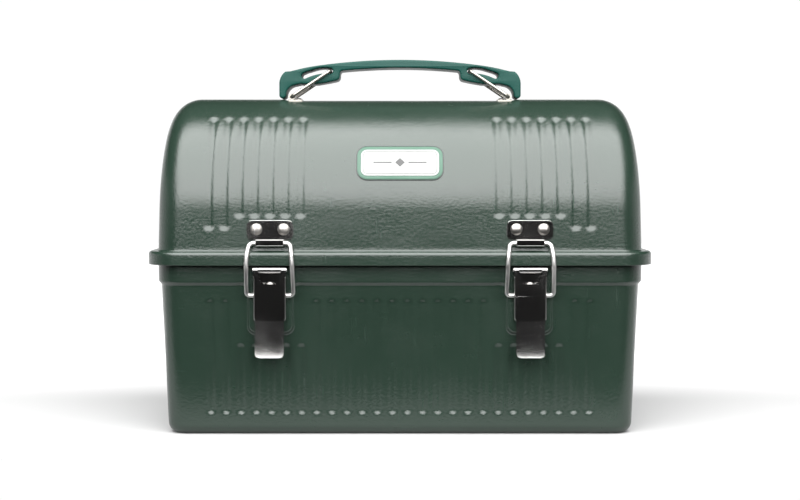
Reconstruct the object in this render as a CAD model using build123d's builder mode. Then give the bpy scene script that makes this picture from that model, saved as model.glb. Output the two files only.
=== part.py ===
from build123d import *
from math import atan2, cos, degrees, hypot, radians, sin, tan
import os

# A domed steel lunch box with a hinged lid, two draw latches and a lifting handle.
# Millimetres, +Z up. The front, with its latches, faces -Y and the hinges face +Y.
# The origin is the middle of the flat base, at the level that it stands on.

# Pressed shells: half sizes are taken over the outside where lid and body meet.
SHEET = 0.8
WALL_X, WALL_Y = 161.0, 78.65
CORNER = 19.0
BASE_ROUND = 7.0
STEP_LOW, STEP_HIGH, STEP_IN = 98.0, 103.0, 2.0
TUB_DRAFT = 2.33
RIM_TOP, BEAD_LOW, BEAD_OUT, BEAD_ROUND = 120.7, 115.9, 4.7, 2.0
PAD_LOW, PAD_HALF, PAD_CORNER, PAD_TOP = 68.0, 15.3, 5.0, 108.0
SKIRT_LOW, SHELF, SKIRT_OUT, SKIRT_ROUND = 113.0, 121.8, 6.35, 3.0
LID_TOP, LID_DRAFT, END_DRAFT = 225.0, 1.5, 1.6

# Ribs pressed into both faces, and the recess under the handle.
RIB_PITCH, RIB_WIDTH, RIB_DEPTH = 10.0, 4.6, 0.9
RIB_LOW, RIB_HIGH, RIB_UNDER_LATCH = 14.4, 89.7, 60.3
LID_RIB_LOW, LID_RIB_MID, LID_RIB_HIGH = 136.6, 144.7, 210.0
RECESS_LENGTH, RECESS_WIDTH = 162.0, 58.0

# Latches and hinges: OUT values stand out from the wall, and X is the middle of each.
LATCH_X = 85.0
PIN = 2.8
KNUCKLE = 5.0
RUNNING_FIT = 0.03
PLATE = 1.2
PIVOT_OUT, PIVOT_Z = 2.9, 110.1
BAIL_OUT, BAIL_Z, BAIL_WIRE = 2.7, 93.3, 2.9
HOOK_OUT, HOOK_Z, HOOK_SHEET = 2.65, 127.45, 1.0
HOOK_CHANNEL, HOOK_HALF, HOOK_LIP = 1.65, 9.1, 129.8
LEVER_HALF, TONGUE_HALF, LEVER_SHEET = 10.8, 9.25, 1.2
LEVER_TOP, LEVER_WAIST, LEVER_TIP = 106.2, 76.9, 53.1
WAIST_OUT, TIP_OUT, TIP_CORNER = 6.6, 9.6, 2.7
CHEEK_OUT, CHEEK_LOW, CHEEK_HIGH = 0.5, 82.0, 102.0
BASE_LOW, SIDE_GAP = 79.0, 0.3
BAIL_FOOT, BAIL_WAIST, BAIL_TOP = 4.6, 4.1, 2.55
BAIL_BENDS = [2.5, 8.0, 4.0, 3.5]
EAR_INNER, NOTCH_HALF, NOTCH_LOW = 7.5, 6.15, 100.9
HINGE_OUT, HINGE_Z = 9.05, 112.0
LEAF_HALF, LEAF_TOP, LEAF_LOW = 14.0, 147.0, 76.0
MIDDLE_KNUCKLE, ARM_HIGH, ARM_LOW, STOP_OUT, STOP_SHEET = 6.0, 1.3, 2.5, 4.4, 1.2
STRIKE_LOW, STRIKE_TOP, STRIKE_HALF, STRIKE_CORNER = 129.7, 142.3, 15.15, 3.5
FIXING_Z, FIXING_X = 136.4, 8.9

# Handle: a moulded grip carried on two wire links.
GRIP_TOP, GRIP_THICK, GRIP_HALF_Y, GRIP_RADIUS = 253.0, 6.4, 11.0, 417.0
LINK_X, LINK_Z, LINK_WIRE, LINK_HALF_Y = 75.7, 226.5, 2.3, 13.0
LINK_BAR_X, LINK_BAR_Z = 48.8, 244.4
LIFT, LINK_TURN = 16.5, 40.5
SLOT_HEIGHT = 4.0
GRIP_SHOULDER_X, GRIP_END_X, GRIP_FOOT_Z, GRIP_BLOCK_X = 75.0, 84.4, 228.2, 41.9
BRACKET_RIVET_X, BRACKET_RIVET_Y, BRACKET_SHEET, BRACKET_HALF_Y = 71.0, 6.0, 1.0, 9.5
BRACKET_HALF_X, TUBE_WALL, LINK_FIT = 5.0, 1.05, 0.08

# Badge: half sizes, corners and heights of its plate and its raised field.
BADGE_TURN = 25.0
BADGE_LAYERS = (
    ("badge_plate", 28.5, 12.25, 6.5, 0.0, 0.6),
    ("badge_field", 23.5, 7.25, 1.5, 0.6, 0.9),
)

# Bottle clamp inside the lid.
CLAMP_Z, CLAMP_WIRE, CLAMP_HALF, CLAMP_IN = 127.0, 3.0, 96.0, 4.0
CATCH_TOP, CATCH_REACH, CATCH_SHEET, CATCH_GAP = 143.0, 9.0, 1.0, 0.25

# Rivets.
SHANK, DRILL_DEPTH, HEAD_RISE, TAIL = 3.2, 8.0, 0.22, 0.8
BASE_HEAD, STRIKE_HEAD, LEAF_HEAD, BRACKET_HEAD = 5.0, 7.8, 6.0, 4.4
BASE_RIVET_Z, LEAF_RIVET_Z = (99.7, 85.0), (98.0, 83.0)

# The dome's arc meets the drafted wall in line with it and ends at the lid's top.
SLOPE = tan(radians(LID_DRAFT))
DOME = (WALL_Y - (LID_TOP - SHELF) * SLOPE) / (1 / cos(radians(LID_DRAFT)) - SLOPE)
DOME_Z = LID_TOP - DOME
SEATS = {"left": -LATCH_X, "right": LATCH_X}
os.makedirs("parts", exist_ok=True)


def front(out):
    """Y of a point that stands out from the front wall."""
    return -WALL_Y - out


def rear(out):
    """Y of a point that stands out from the rear wall."""
    return WALL_Y + out


def lid_wall(z):
    """Half depth of the lid's drafted wall at height z."""
    return WALL_Y - (z - SHELF) * SLOPE


def facing_down(z):
    """A plane at height z whose normal points down."""
    return Plane(origin=(0, 0, z), x_dir=(1, 0, 0), z_dir=(0, 0, -1))


def ring_profile(grow):
    """The seam's outline, a rectangle with rounded corners, grown on every side."""
    RectangleRounded(2 * (WALL_X + grow), 2 * (WALL_Y + grow), CORNER + grow)


def plain_body(inset, top):
    """The body's form before its ribs are pressed, set in on every wall."""
    step_slope = degrees(atan2(STEP_IN, STEP_HIGH - STEP_LOW))
    pad_height = PAD_TOP - PAD_LOW - inset
    with BuildPart() as form:
        with BuildSketch(facing_down(STEP_LOW)):
            ring_profile(-STEP_IN - inset)
        extrude(amount=STEP_LOW - inset, taper=TUB_DRAFT)
        fillet(form.edges().group_by(Axis.Z)[0], BASE_ROUND - inset)
        with BuildSketch(facing_down(STEP_HIGH)):
            ring_profile(-inset)
        extrude(amount=STEP_HIGH - STEP_LOW, taper=step_slope)
        with BuildSketch(Plane.XY.offset(STEP_HIGH)):
            ring_profile(-inset)
        extrude(amount=top - STEP_HIGH)
        for side in (-1, 1):
            wall = Plane((0, side * (WALL_Y - inset), 0), x_dir=(side, 0, 0), z_dir=(0, -side, 0))
            with BuildSketch(wall):
                with Locations((-LATCH_X, PAD_TOP - pad_height / 2), (LATCH_X, PAD_TOP - pad_height / 2)):
                    RectangleRounded(2 * (PAD_HALF - inset), pad_height, PAD_CORNER - inset)
            extrude(amount=BASE_ROUND)
    return form.part


def rib_slots(columns, low, high, inset):
    """Upright slots of the ribs' width, one on each X in columns."""
    width = RIB_WIDTH + 2 * inset
    with Locations(*[(x, (low + high) / 2) for x in columns]):
        SlotOverall(high - low + 2 * inset, width, rotation=90)


def body_form(inset, top):
    """The body's form with its ribs pressed in from both faces."""
    columns = [RIB_PITCH * (n + 0.5) for n in range(13)]
    short = [x for x in columns if abs(x - LATCH_X) <= 2 * RIB_PITCH]
    full = [x for x in columns if x not in short]
    plain, core = plain_body(inset, top), plain_body(inset + RIB_DEPTH, top)
    with BuildPart() as form:
        add(plain)
        with BuildSketch(Plane.XZ):
            for side in (-1, 1):
                rib_slots([side * x for x in full], RIB_LOW, RIB_HIGH, inset)
                rib_slots([side * x for x in short], RIB_LOW, RIB_UNDER_LATCH, inset)
        extrude(amount=WALL_Y + 1, both=True, mode=Mode.SUBTRACT)
        add(core)
    return form.part


def plain_lid(inset):
    """The lid's domed form before anything is pressed into it, set in on every wall."""
    foot = SHELF - SKIRT_ROUND
    radius, lean = DOME - inset, radians(LID_DRAFT)
    tangent = (radius * cos(lean), DOME_Z + radius * sin(lean))
    foot_y = lid_wall(foot) - inset
    end_slope = tan(radians(END_DRAFT))
    foot_x = WALL_X - inset + (SHELF - foot) * end_slope
    top_x = foot_x - (LID_TOP - foot) * end_slope
    with BuildPart() as form:
        with BuildSketch(Plane.YZ):
            with BuildLine():
                Polyline((-tangent[0], tangent[1]), (-foot_y, foot), (foot_y, foot), tangent)
                ThreePointArc((-tangent[0], tangent[1]), (0, DOME_Z + radius), tangent)
            make_face()
        extrude(amount=WALL_X + 1, both=True)
        with BuildSketch(Plane.XZ):
            with BuildLine():
                Polyline((-foot_x, foot), (foot_x, foot), (top_x, LID_TOP), (-top_x, LID_TOP), close=True)
            make_face()
        extrude(amount=WALL_Y + 1, both=True, mode=Mode.INTERSECT)
        ends = form.faces().sort_by(Axis.X)
        round_over = ends[0].edges().sort_by(Axis.Z)[1:] + ends[-1].edges().sort_by(Axis.Z)[1:]
        fillet(round_over, CORNER - inset)
    return form.part


def lid_form(inset):
    """The lid's dome with its ribs and the handle's recess pressed in."""
    columns = [RIB_PITCH * (n + 0.5) for n in range(6, 13)]
    inner = [x for x in columns if abs(x - LATCH_X) <= 2 * RIB_PITCH]
    outer = [x for x in columns if x not in inner]
    plain, core = plain_lid(inset), plain_lid(inset + RIB_DEPTH)
    with BuildPart() as form:
        add(plain)
        with BuildSketch(Plane.XZ):
            for side in (-1, 1):
                rib_slots([side * x for x in inner], LID_RIB_MID, LID_RIB_HIGH, inset)
                rib_slots([side * x for x in outer], LID_RIB_LOW, LID_RIB_HIGH, inset)
        extrude(amount=WALL_Y + 1, both=True, mode=Mode.SUBTRACT)
        with BuildSketch(Plane.XY.offset(DOME_Z)):
            SlotOverall(RECESS_LENGTH + 2 * inset, RECESS_WIDTH + 2 * inset)
        extrude(amount=DOME + 1, mode=Mode.SUBTRACT)
        add(core)
    return form.part


def skirt_form(inset):
    """The lid's stepped skirt, which drops over the body's rim."""
    with BuildPart() as form:
        with BuildSketch(Plane.XY.offset(SKIRT_LOW - inset)):
            ring_profile(SKIRT_OUT - inset)
        extrude(amount=SHELF - SKIRT_LOW)
        fillet(form.edges().group_by(Axis.Z)[-1], SKIRT_ROUND - inset)
    return form.part


def wall_seat(x, y, z, draft=0):
    """A plane that faces out from the front or rear wall at a point, leaning back by the wall's draft."""
    side, lean = (1 if y > 0 else -1), radians(draft)
    return Plane((x, y, z), x_dir=(1, 0, 0), z_dir=(0, side * cos(lean), sin(lean)))


def set_rivets(seats, head, shank, grip):
    """Domed rivets, one standing on each seat, closed over behind the grip length."""
    rise = HEAD_RISE * head
    with BuildPart() as group:
        for seat in seats:
            with BuildSketch(Plane(seat.origin, x_dir=seat.x_dir, z_dir=-seat.y_dir)):
                with BuildLine():
                    ThreePointArc((0, rise), (0.36 * head, 0.6 * rise), (head / 2, 0))
                    Polyline(
                        (head / 2, 0), (shank / 2, 0), (shank / 2, -grip), (0.75 * shank, -grip),
                        (0.75 * shank, -grip - TAIL), (0, -grip - TAIL), (0, rise),
                    )
                make_face()
            revolve(axis=Axis(seat.origin, seat.z_dir))
    return group.part


def drilled(seats):
    """The holes for a set of rivets, as a part to subtract."""
    with BuildPart() as holes:
        for seat in seats:
            with BuildSketch(seat.offset(1)):
                Circle(SHANK / 2)
            extrude(amount=-DRILL_DEPTH)
    return holes.part


# Rivet seats on the outside of each plate, in the order left, right.
base_seats = [wall_seat(x, front(PLATE), z) for x in SEATS.values() for z in BASE_RIVET_Z]
strike_seats = [
    wall_seat(x + dx, -lid_wall(FIXING_Z) - HOOK_SHEET, FIXING_Z, LID_DRAFT)
    for x in SEATS.values() for dx in (-FIXING_X, FIXING_X)
]
lower_leaf_seats = [
    wall_seat(x + dx, rear(PLATE), z)
    for x in SEATS.values() for dx in (-FIXING_X, FIXING_X) for z in LEAF_RIVET_Z
]
upper_leaf_seats = [
    wall_seat(x + dx, lid_wall(FIXING_Z) + PLATE, FIXING_Z, LID_DRAFT)
    for x in SEATS.values() for dx in (-FIXING_X, FIXING_X)
]
BRACKET_FLOOR = DOME - RIB_DEPTH
bracket_seats = []
for x in (-BRACKET_RIVET_X, BRACKET_RIVET_X):
    for y in (-BRACKET_RIVET_Y, BRACKET_RIVET_Y):
        turn = y / BRACKET_FLOOR
        reach = BRACKET_FLOOR + BRACKET_SHEET
        seat_at = (x, reach * sin(turn), DOME_Z + reach * cos(turn))
        bracket_seats.append(Plane(seat_at, x_dir=(1, 0, 0), z_dir=(0, sin(turn), cos(turn))))

# Body: one pressed tub with a wired bead rolled out round its rim.
body_outside, body_inside = body_form(0, RIM_TOP), body_form(SHEET, RIM_TOP + 1)
body_holes = drilled(base_seats + lower_leaf_seats)
lid_holes = drilled(strike_seats + upper_leaf_seats + bracket_seats)
with BuildPart() as body_shell:
    with BuildSketch(Plane.XY.offset(BEAD_LOW)):
        ring_profile(BEAD_OUT)
    extrude(amount=RIM_TOP - BEAD_LOW)
    fillet(body_shell.edges().group_by(Axis.Z)[0] + body_shell.edges().group_by(Axis.Z)[-1], BEAD_ROUND)
    add(body_outside)
    add(body_inside, mode=Mode.SUBTRACT)
    add(body_holes, mode=Mode.SUBTRACT)
body_shell.part.label = "body_shell"
export_step(body_shell.part, "parts/body_shell.step")

# Lid: one pressed dome with a skirt that steps out over the bead.
lid_outside, lid_inside = lid_form(0), lid_form(SHEET)
skirt_outside, skirt_inside = skirt_form(0), skirt_form(SHEET)
with BuildPart() as lid_shell:
    add(lid_outside)
    add(skirt_outside)
    add(skirt_inside, mode=Mode.SUBTRACT)
    add(lid_inside, mode=Mode.SUBTRACT)
    add(lid_holes, mode=Mode.SUBTRACT)
lid_shell.part.label = "lid_shell"
export_step(lid_shell.part, "parts/lid_shell.step")

for side, x in SEATS.items():
    middle = Plane.YZ.offset(x)

    # Latch base: a plate on the body's pad, rolled round the pivot pin at its top.
    with BuildPart() as latch_base:
        with BuildSketch(middle):
            with BuildLine():
                Polyline(
                    (front(0), BASE_LOW), (front(0), PIVOT_Z), (front(PLATE), PIVOT_Z),
                    (front(PLATE), BASE_LOW), close=True,
                )
            make_face()
            with Locations((front(PIVOT_OUT), PIVOT_Z)):
                Circle(KNUCKLE / 2)
                Circle(PIN / 2, mode=Mode.SUBTRACT)
        extrude(amount=EAR_INNER - SIDE_GAP, both=True)
        add(body_holes, mode=Mode.SUBTRACT)
    latch_base.part.label = f"latch_base_{side}"
    export_step(latch_base.part, f"parts/latch_base_{side}.step")

    with BuildPart() as latch_pin:
        with BuildSketch(middle):
            with Locations((front(PIVOT_OUT), PIVOT_Z)):
                Circle(PIN / 2)
        extrude(amount=LEVER_HALF + 0.5, both=True)
        chamfer(latch_pin.edges(), 0.3)
    latch_pin.part.label = f"latch_pin_{side}"
    export_step(latch_pin.part, f"parts/latch_pin_{side}.step")

    # Lever: a channel with rolled ears on the pin, cheeks for the bail and a long tongue.
    web_top = PIVOT_OUT + KNUCKLE / 2
    with BuildPart() as lever:
        with BuildSketch(middle):
            with BuildLine():
                Polyline(
                    (front(web_top), PIVOT_Z), (front(WAIST_OUT), LEVER_WAIST),
                    (front(WAIST_OUT - LEVER_SHEET), LEVER_WAIST), (front(web_top - LEVER_SHEET), PIVOT_Z),
                    close=True,
                )
            make_face()
        extrude(amount=LEVER_HALF, both=True)
        with BuildSketch(middle):
            with BuildLine():
                Polyline(
                    (front(WAIST_OUT), LEVER_WAIST), (front(TIP_OUT), LEVER_TIP),
                    (front(TIP_OUT - LEVER_SHEET), LEVER_TIP), (front(WAIST_OUT - LEVER_SHEET), LEVER_WAIST),
                    close=True,
                )
            make_face()
        extrude(amount=TONGUE_HALF, both=True)
        fillet(lever.edges().filter_by_position(Axis.Z, LEVER_TIP - 1, LEVER_TIP + 1)
               .filter_by(lambda edge: edge.length < 2 * LEVER_SHEET), TIP_CORNER)
        for cheek in (x - LEVER_HALF, x + LEVER_HALF - LEVER_SHEET):
            with BuildSketch(Plane.YZ.offset(cheek)):
                with BuildLine():
                    Polyline(
                        (front(web_top - 0.5), LEVER_TOP), (front(2.4), LEVER_TOP),
                        (front(CHEEK_OUT), CHEEK_HIGH), (front(CHEEK_OUT), CHEEK_LOW), (front(4.0), LEVER_WAIST),
                        (front(WAIST_OUT - 0.5), LEVER_WAIST),
                        close=True,
                    )
                make_face()
            extrude(amount=LEVER_SHEET)
        with BuildSketch(middle):
            with Locations((front(PIVOT_OUT), PIVOT_Z)):
                Circle(KNUCKLE / 2)
        extrude(amount=LEVER_HALF, both=True)
        with BuildSketch(middle):
            with BuildLine():
                Polyline(
                    (front(-1), LEVER_TOP), (front(-1), SKIRT_LOW), (front(WAIST_OUT + 1), SKIRT_LOW),
                    (front(WAIST_OUT + 1), LEVER_TOP), close=True,
                )
            make_face()
        extrude(amount=EAR_INNER, both=True, mode=Mode.SUBTRACT)
        with BuildSketch(middle):
            with BuildLine():
                Polyline(
                    (front(-1), NOTCH_LOW), (front(-1), LEVER_TOP), (front(WAIST_OUT + 1), LEVER_TOP),
                    (front(WAIST_OUT + 1), NOTCH_LOW), close=True,
                )
            make_face()
        extrude(amount=NOTCH_HALF, both=True, mode=Mode.SUBTRACT)
        with BuildSketch(middle):
            with Locations((front(PIVOT_OUT), PIVOT_Z)):
                Circle(PIN / 2 + RUNNING_FIT)
            with Locations((front(BAIL_OUT), BAIL_Z)):
                Circle(BAIL_WIRE / 2 + RUNNING_FIT)
        extrude(amount=LEVER_HALF + 1, both=True, mode=Mode.SUBTRACT)
    lever.part.label = f"latch_lever_{side}"
    export_step(lever.part, f"parts/latch_lever_{side}.step")

    # Bail: one bent wire, its ends turned in through the lever's cheeks.
    foot, waist, top = LEVER_HALF + BAIL_FOOT, LEVER_HALF + BAIL_WAIST, LEVER_HALF + BAIL_TOP
    tip = LEVER_HALF - LEVER_SHEET - 0.8
    half_route = [
        (tip, BAIL_OUT, BAIL_Z), (foot, BAIL_OUT, BAIL_Z), (waist, SKIRT_OUT + 1.95, SKIRT_LOW + 1),
        (waist - 0.4, SKIRT_OUT + 1.95, SHELF - 1.8), (top, HOOK_OUT, HOOK_Z),
    ]
    route = [(x - dx, front(out), z) for dx, out, z in half_route]
    route += [(x + dx, front(out), z) for dx, out, z in reversed(half_route)]
    with BuildPart() as bail:
        with BuildLine() as wire:
            FilletPolyline(*route, radius=BAIL_BENDS + BAIL_BENDS[::-1])
        with BuildSketch(Plane(route[0], z_dir=(-1, 0, 0))):
            Circle(BAIL_WIRE / 2)
        sweep(path=wire.line)
    bail.part.label = f"latch_bail_{side}"
    export_step(bail.part, f"parts/latch_bail_{side}.step")

    # Strike plate on the lid, with the hook that the bail pulls on.
    low_y, top_y = -lid_wall(STRIKE_LOW), -lid_wall(STRIKE_TOP)
    with BuildPart() as strike_plate:
        with BuildSketch(middle):
            with BuildLine():
                Polyline(
                    (low_y, STRIKE_LOW), (top_y, STRIKE_TOP), (top_y - HOOK_SHEET, STRIKE_TOP),
                    (low_y - HOOK_SHEET, STRIKE_LOW), close=True,
                )
            make_face()
        extrude(amount=STRIKE_HALF, both=True)
        fillet(strike_plate.edges().filter_by(lambda edge: edge.length < 1.2 * HOOK_SHEET), STRIKE_CORNER)
        with BuildSketch(middle):
            with Locations((front(HOOK_OUT), HOOK_Z)):
                Circle(HOOK_CHANNEL + HOOK_SHEET)
                Circle(HOOK_CHANNEL, mode=Mode.SUBTRACT)
            with Locations((front(HOOK_OUT), HOOK_Z + 2 * HOOK_CHANNEL)):
                Rectangle(4 * HOOK_CHANNEL, 4 * HOOK_CHANNEL, mode=Mode.SUBTRACT)
            with BuildLine():
                Polyline(
                    (front(HOOK_OUT + HOOK_CHANNEL), HOOK_Z), (front(HOOK_OUT + HOOK_CHANNEL), HOOK_LIP),
                    (front(HOOK_OUT + HOOK_CHANNEL + HOOK_SHEET), HOOK_LIP),
                    (front(HOOK_OUT + HOOK_CHANNEL + HOOK_SHEET), HOOK_Z), close=True,
                )
            make_face()
            with BuildLine():
                Polyline(
                    (front(HOOK_OUT - HOOK_CHANNEL), HOOK_Z), (front(HOOK_OUT - HOOK_CHANNEL), STRIKE_LOW + 1),
                    (front(HOOK_OUT - HOOK_CHANNEL - HOOK_SHEET), STRIKE_LOW + 1),
                    (front(HOOK_OUT - HOOK_CHANNEL - HOOK_SHEET), HOOK_Z), close=True,
                )
            make_face()
        extrude(amount=HOOK_HALF, both=True)
        add(lid_inside, mode=Mode.SUBTRACT)
        add(lid_holes, mode=Mode.SUBTRACT)
    strike_plate.part.label = f"strike_plate_{side}"
    export_step(strike_plate.part, f"parts/strike_plate_{side}.step")

    # Hinge: the lower leaf carries the two outer knuckles, the upper leaf the middle one.
    with BuildPart() as lower_leaf:
        with BuildSketch(middle):
            with BuildLine():
                Polyline(
                    (rear(0), LEAF_LOW), (rear(0), HINGE_Z - ARM_HIGH),
                    (rear(HINGE_OUT), HINGE_Z - ARM_HIGH),
                    (rear(HINGE_OUT), HINGE_Z - ARM_LOW), (rear(PLATE), HINGE_Z - ARM_LOW),
                    (rear(PLATE), LEAF_LOW), close=True,
                )
            make_face()
            with Locations((rear(HINGE_OUT), HINGE_Z)):
                Circle(KNUCKLE / 2)
            with BuildLine():
                Polyline(
                    (rear(HINGE_OUT), HINGE_Z - ARM_LOW), (rear(HINGE_OUT + STOP_OUT), HINGE_Z - ARM_LOW),
                    (rear(HINGE_OUT + STOP_OUT), HINGE_Z), (rear(HINGE_OUT + STOP_OUT - STOP_SHEET), HINGE_Z),
                    (rear(HINGE_OUT + STOP_OUT - STOP_SHEET), HINGE_Z - ARM_HIGH),
                    (rear(HINGE_OUT), HINGE_Z - ARM_HIGH), close=True,
                )
            make_face()
            with Locations((rear(HINGE_OUT), HINGE_Z)):
                Circle(PIN / 2, mode=Mode.SUBTRACT)
        extrude(amount=LEAF_HALF, both=True)
        with BuildSketch(middle):
            with BuildLine():
                Polyline(
                    (rear(5.4), HINGE_Z - 4), (rear(5.4), HINGE_Z + 4), (rear(HINGE_OUT + 6), HINGE_Z + 4),
                    (rear(HINGE_OUT + 6), HINGE_Z - 4), close=True,
                )
            make_face()
        extrude(amount=MIDDLE_KNUCKLE + SIDE_GAP, both=True, mode=Mode.SUBTRACT)
        add(body_holes, mode=Mode.SUBTRACT)
    lower_leaf.part.label = f"hinge_leaf_lower_{side}"
    export_step(lower_leaf.part, f"parts/hinge_leaf_lower_{side}.step")

    strap_out = SKIRT_OUT + PLATE
    with BuildPart() as upper_leaf:
        with BuildSketch(middle):
            with BuildLine():
                Polyline(
                    (rear(SKIRT_OUT), HINGE_Z + 3.2), (rear(SKIRT_OUT), SHELF), (lid_wall(SHELF) + 1.6, SHELF),
                    (lid_wall(SHELF + 1.6), SHELF + 1.6), (lid_wall(LEAF_TOP), LEAF_TOP),
                    (lid_wall(LEAF_TOP) + PLATE, LEAF_TOP), (lid_wall(SHELF + 2) + PLATE, SHELF + 2),
                    (rear(strap_out - 1), SHELF + PLATE), (rear(strap_out), SHELF + 0.2),
                    (rear(strap_out), HINGE_Z + 3.2), close=True,
                )
            make_face()
        extrude(amount=LEAF_HALF, both=True)
        with BuildSketch(middle):
            with BuildLine():
                Polyline(
                    (rear(SKIRT_OUT), HINGE_Z), (rear(SKIRT_OUT), HINGE_Z + 4), (rear(strap_out), HINGE_Z + 4),
                    (rear(strap_out), HINGE_Z), close=True,
                )
            make_face()
            with Locations((rear(HINGE_OUT), HINGE_Z)):
                Circle(KNUCKLE / 2)
        extrude(amount=MIDDLE_KNUCKLE, both=True)
        with BuildSketch(middle):
            with Locations((rear(HINGE_OUT), HINGE_Z)):
                Circle(PIN / 2 + RUNNING_FIT)
        extrude(amount=LEAF_HALF + 1, both=True, mode=Mode.SUBTRACT)
        add(lid_holes, mode=Mode.SUBTRACT)
        add(lid_outside, mode=Mode.SUBTRACT)
    upper_leaf.part.label = f"hinge_leaf_upper_{side}"
    export_step(upper_leaf.part, f"parts/hinge_leaf_upper_{side}.step")

    with BuildPart() as hinge_pin:
        with BuildSketch(middle):
            with Locations((rear(HINGE_OUT), HINGE_Z)):
                Circle(PIN / 2)
        extrude(amount=LEAF_HALF + 0.8, both=True)
        chamfer(hinge_pin.edges(), 0.3)
    hinge_pin.part.label = f"hinge_pin_{side}"
    export_step(hinge_pin.part, f"parts/hinge_pin_{side}.step")

    # Clamp catch: a plate behind the strike plate, with a shelf over the clamp's front bar.
    inner_y = -lid_wall(FIXING_Z) + SHEET
    plate_y = inner_y + CATCH_GAP
    catch_shelf = CLAMP_Z + CLAMP_WIRE / 2 + 0.5
    with BuildPart() as clamp_catch:
        with BuildSketch(middle):
            with BuildLine():
                Polyline(
                    (plate_y, catch_shelf), (plate_y, CATCH_TOP), (plate_y + CATCH_SHEET, CATCH_TOP),
                    (plate_y + CATCH_SHEET, catch_shelf + CATCH_SHEET),
                    (inner_y + CATCH_REACH, catch_shelf + CATCH_SHEET), (inner_y + CATCH_REACH, catch_shelf),
                    close=True,
                )
            make_face()
        extrude(amount=STRIKE_HALF - 1, both=True)
        add(lid_holes, mode=Mode.SUBTRACT)
    clamp_catch.part.label = f"clamp_catch_{side}"
    export_step(clamp_catch.part, f"parts/clamp_catch_{side}.step")

    # Clamp pivot: a plate behind the hinge leaf, rolled round the clamp's end.
    pivot_y = lid_wall(FIXING_Z) - SHEET - CLAMP_IN
    with BuildPart() as clamp_pivot:
        with BuildSketch(middle):
            with BuildLine():
                Polyline(
                    (-plate_y, CLAMP_Z + 1), (-plate_y, CATCH_TOP), (-plate_y - CATCH_SHEET, CATCH_TOP),
                    (-plate_y - CATCH_SHEET, CLAMP_Z + 4), (pivot_y, CLAMP_Z + CLAMP_WIRE / 2 + 1),
                    (pivot_y, CLAMP_Z + 1), close=True,
                )
            make_face()
            with Locations((pivot_y, CLAMP_Z)):
                Circle(CLAMP_WIRE / 2 + 1)
                Circle(CLAMP_WIRE / 2 + RUNNING_FIT, mode=Mode.SUBTRACT)
        extrude(amount=PAD_CORNER + 1, both=True)
        add(lid_holes, mode=Mode.SUBTRACT)
    clamp_pivot.part.label = f"clamp_pivot_{side}"
    export_step(clamp_pivot.part, f"parts/clamp_pivot_{side}.step")

# Bottle clamp: one wire frame that swings down from the lid's rear wall.
front_bar_y = -pivot_y
clamp_route = [
    (-LATCH_X + 8, pivot_y, CLAMP_Z), (-CLAMP_HALF, pivot_y, CLAMP_Z), (-CLAMP_HALF, front_bar_y, CLAMP_Z),
    (CLAMP_HALF, front_bar_y, CLAMP_Z), (CLAMP_HALF, pivot_y, CLAMP_Z), (LATCH_X - 8, pivot_y, CLAMP_Z),
]
with BuildPart() as bottle_clamp:
    with BuildLine() as wire:
        FilletPolyline(*clamp_route, radius=[3.0, 8.0, 8.0, 3.0])
    with BuildSketch(Plane(clamp_route[0], z_dir=(-1, 0, 0))):
        Circle(CLAMP_WIRE / 2)
    sweep(path=wire.line)
bottle_clamp.part.label = "bottle_clamp"
export_step(bottle_clamp.part, "parts/bottle_clamp.step")

# Rivets: one node for each kind, each rivet its own solid.
rivet_sets = {
    "latch_base_rivets": (base_seats, BASE_HEAD, PLATE + SHEET),
    "strike_rivets": (strike_seats, STRIKE_HEAD, HOOK_SHEET + SHEET + 1.6),
    "hinge_lower_rivets": (lower_leaf_seats, LEAF_HEAD, PLATE + SHEET),
    "hinge_upper_rivets": (upper_leaf_seats, LEAF_HEAD, PLATE + SHEET + 1.6),
    "handle_bracket_rivets": (bracket_seats, BRACKET_HEAD, BRACKET_SHEET + SHEET + 0.07),
}
for name, (seats, head, grip_length) in rivet_sets.items():
    rivet_group = set_rivets(seats, head, SHANK, grip_length)
    rivet_group.label = name
    export_step(rivet_group, f"parts/{name}.step")

# Badge: a curved plate bonded to the dome, with a raised field in its middle.
badge_lean = radians(BADGE_TURN)
badge_at = Plane(
    (0, -DOME * cos(badge_lean), DOME_Z + DOME * sin(badge_lean)), x_dir=(1, 0, 0),
    z_dir=(0, -cos(badge_lean), sin(badge_lean)),
)
for name, half_x, half_y, corner, low, high in BADGE_LAYERS:
    with BuildPart() as badge:
        with BuildSketch(badge_at):
            RectangleRounded(2 * half_x, 2 * half_y, corner)
        extrude(amount=3, both=True)
        with BuildSketch(Plane.YZ):
            with Locations((0, DOME_Z)):
                Circle(DOME + high)
                Circle(DOME + low, mode=Mode.SUBTRACT)
        extrude(amount=half_x + 1, both=True, mode=Mode.INTERSECT)
    badge.part.label = name
    export_step(badge.part, f"parts/{name}.step")

# Handle: the slot in each end of the grip follows the path of the link's bar.
link_run, link_rise = LINK_X - LINK_BAR_X, LINK_BAR_Z - LINK_Z
link_length, link_rest = hypot(link_run, link_rise), atan2(link_rise, link_run)


def bar_in_grip(share):
    """The link bar's X and Z in the grip, at a share of the grip's full lift."""
    angle = link_rest + radians(LINK_TURN) * share
    return (
        LINK_X - link_length * cos(angle),
        LINK_Z + link_length * sin(angle) - LIFT * share,
    )


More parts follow.
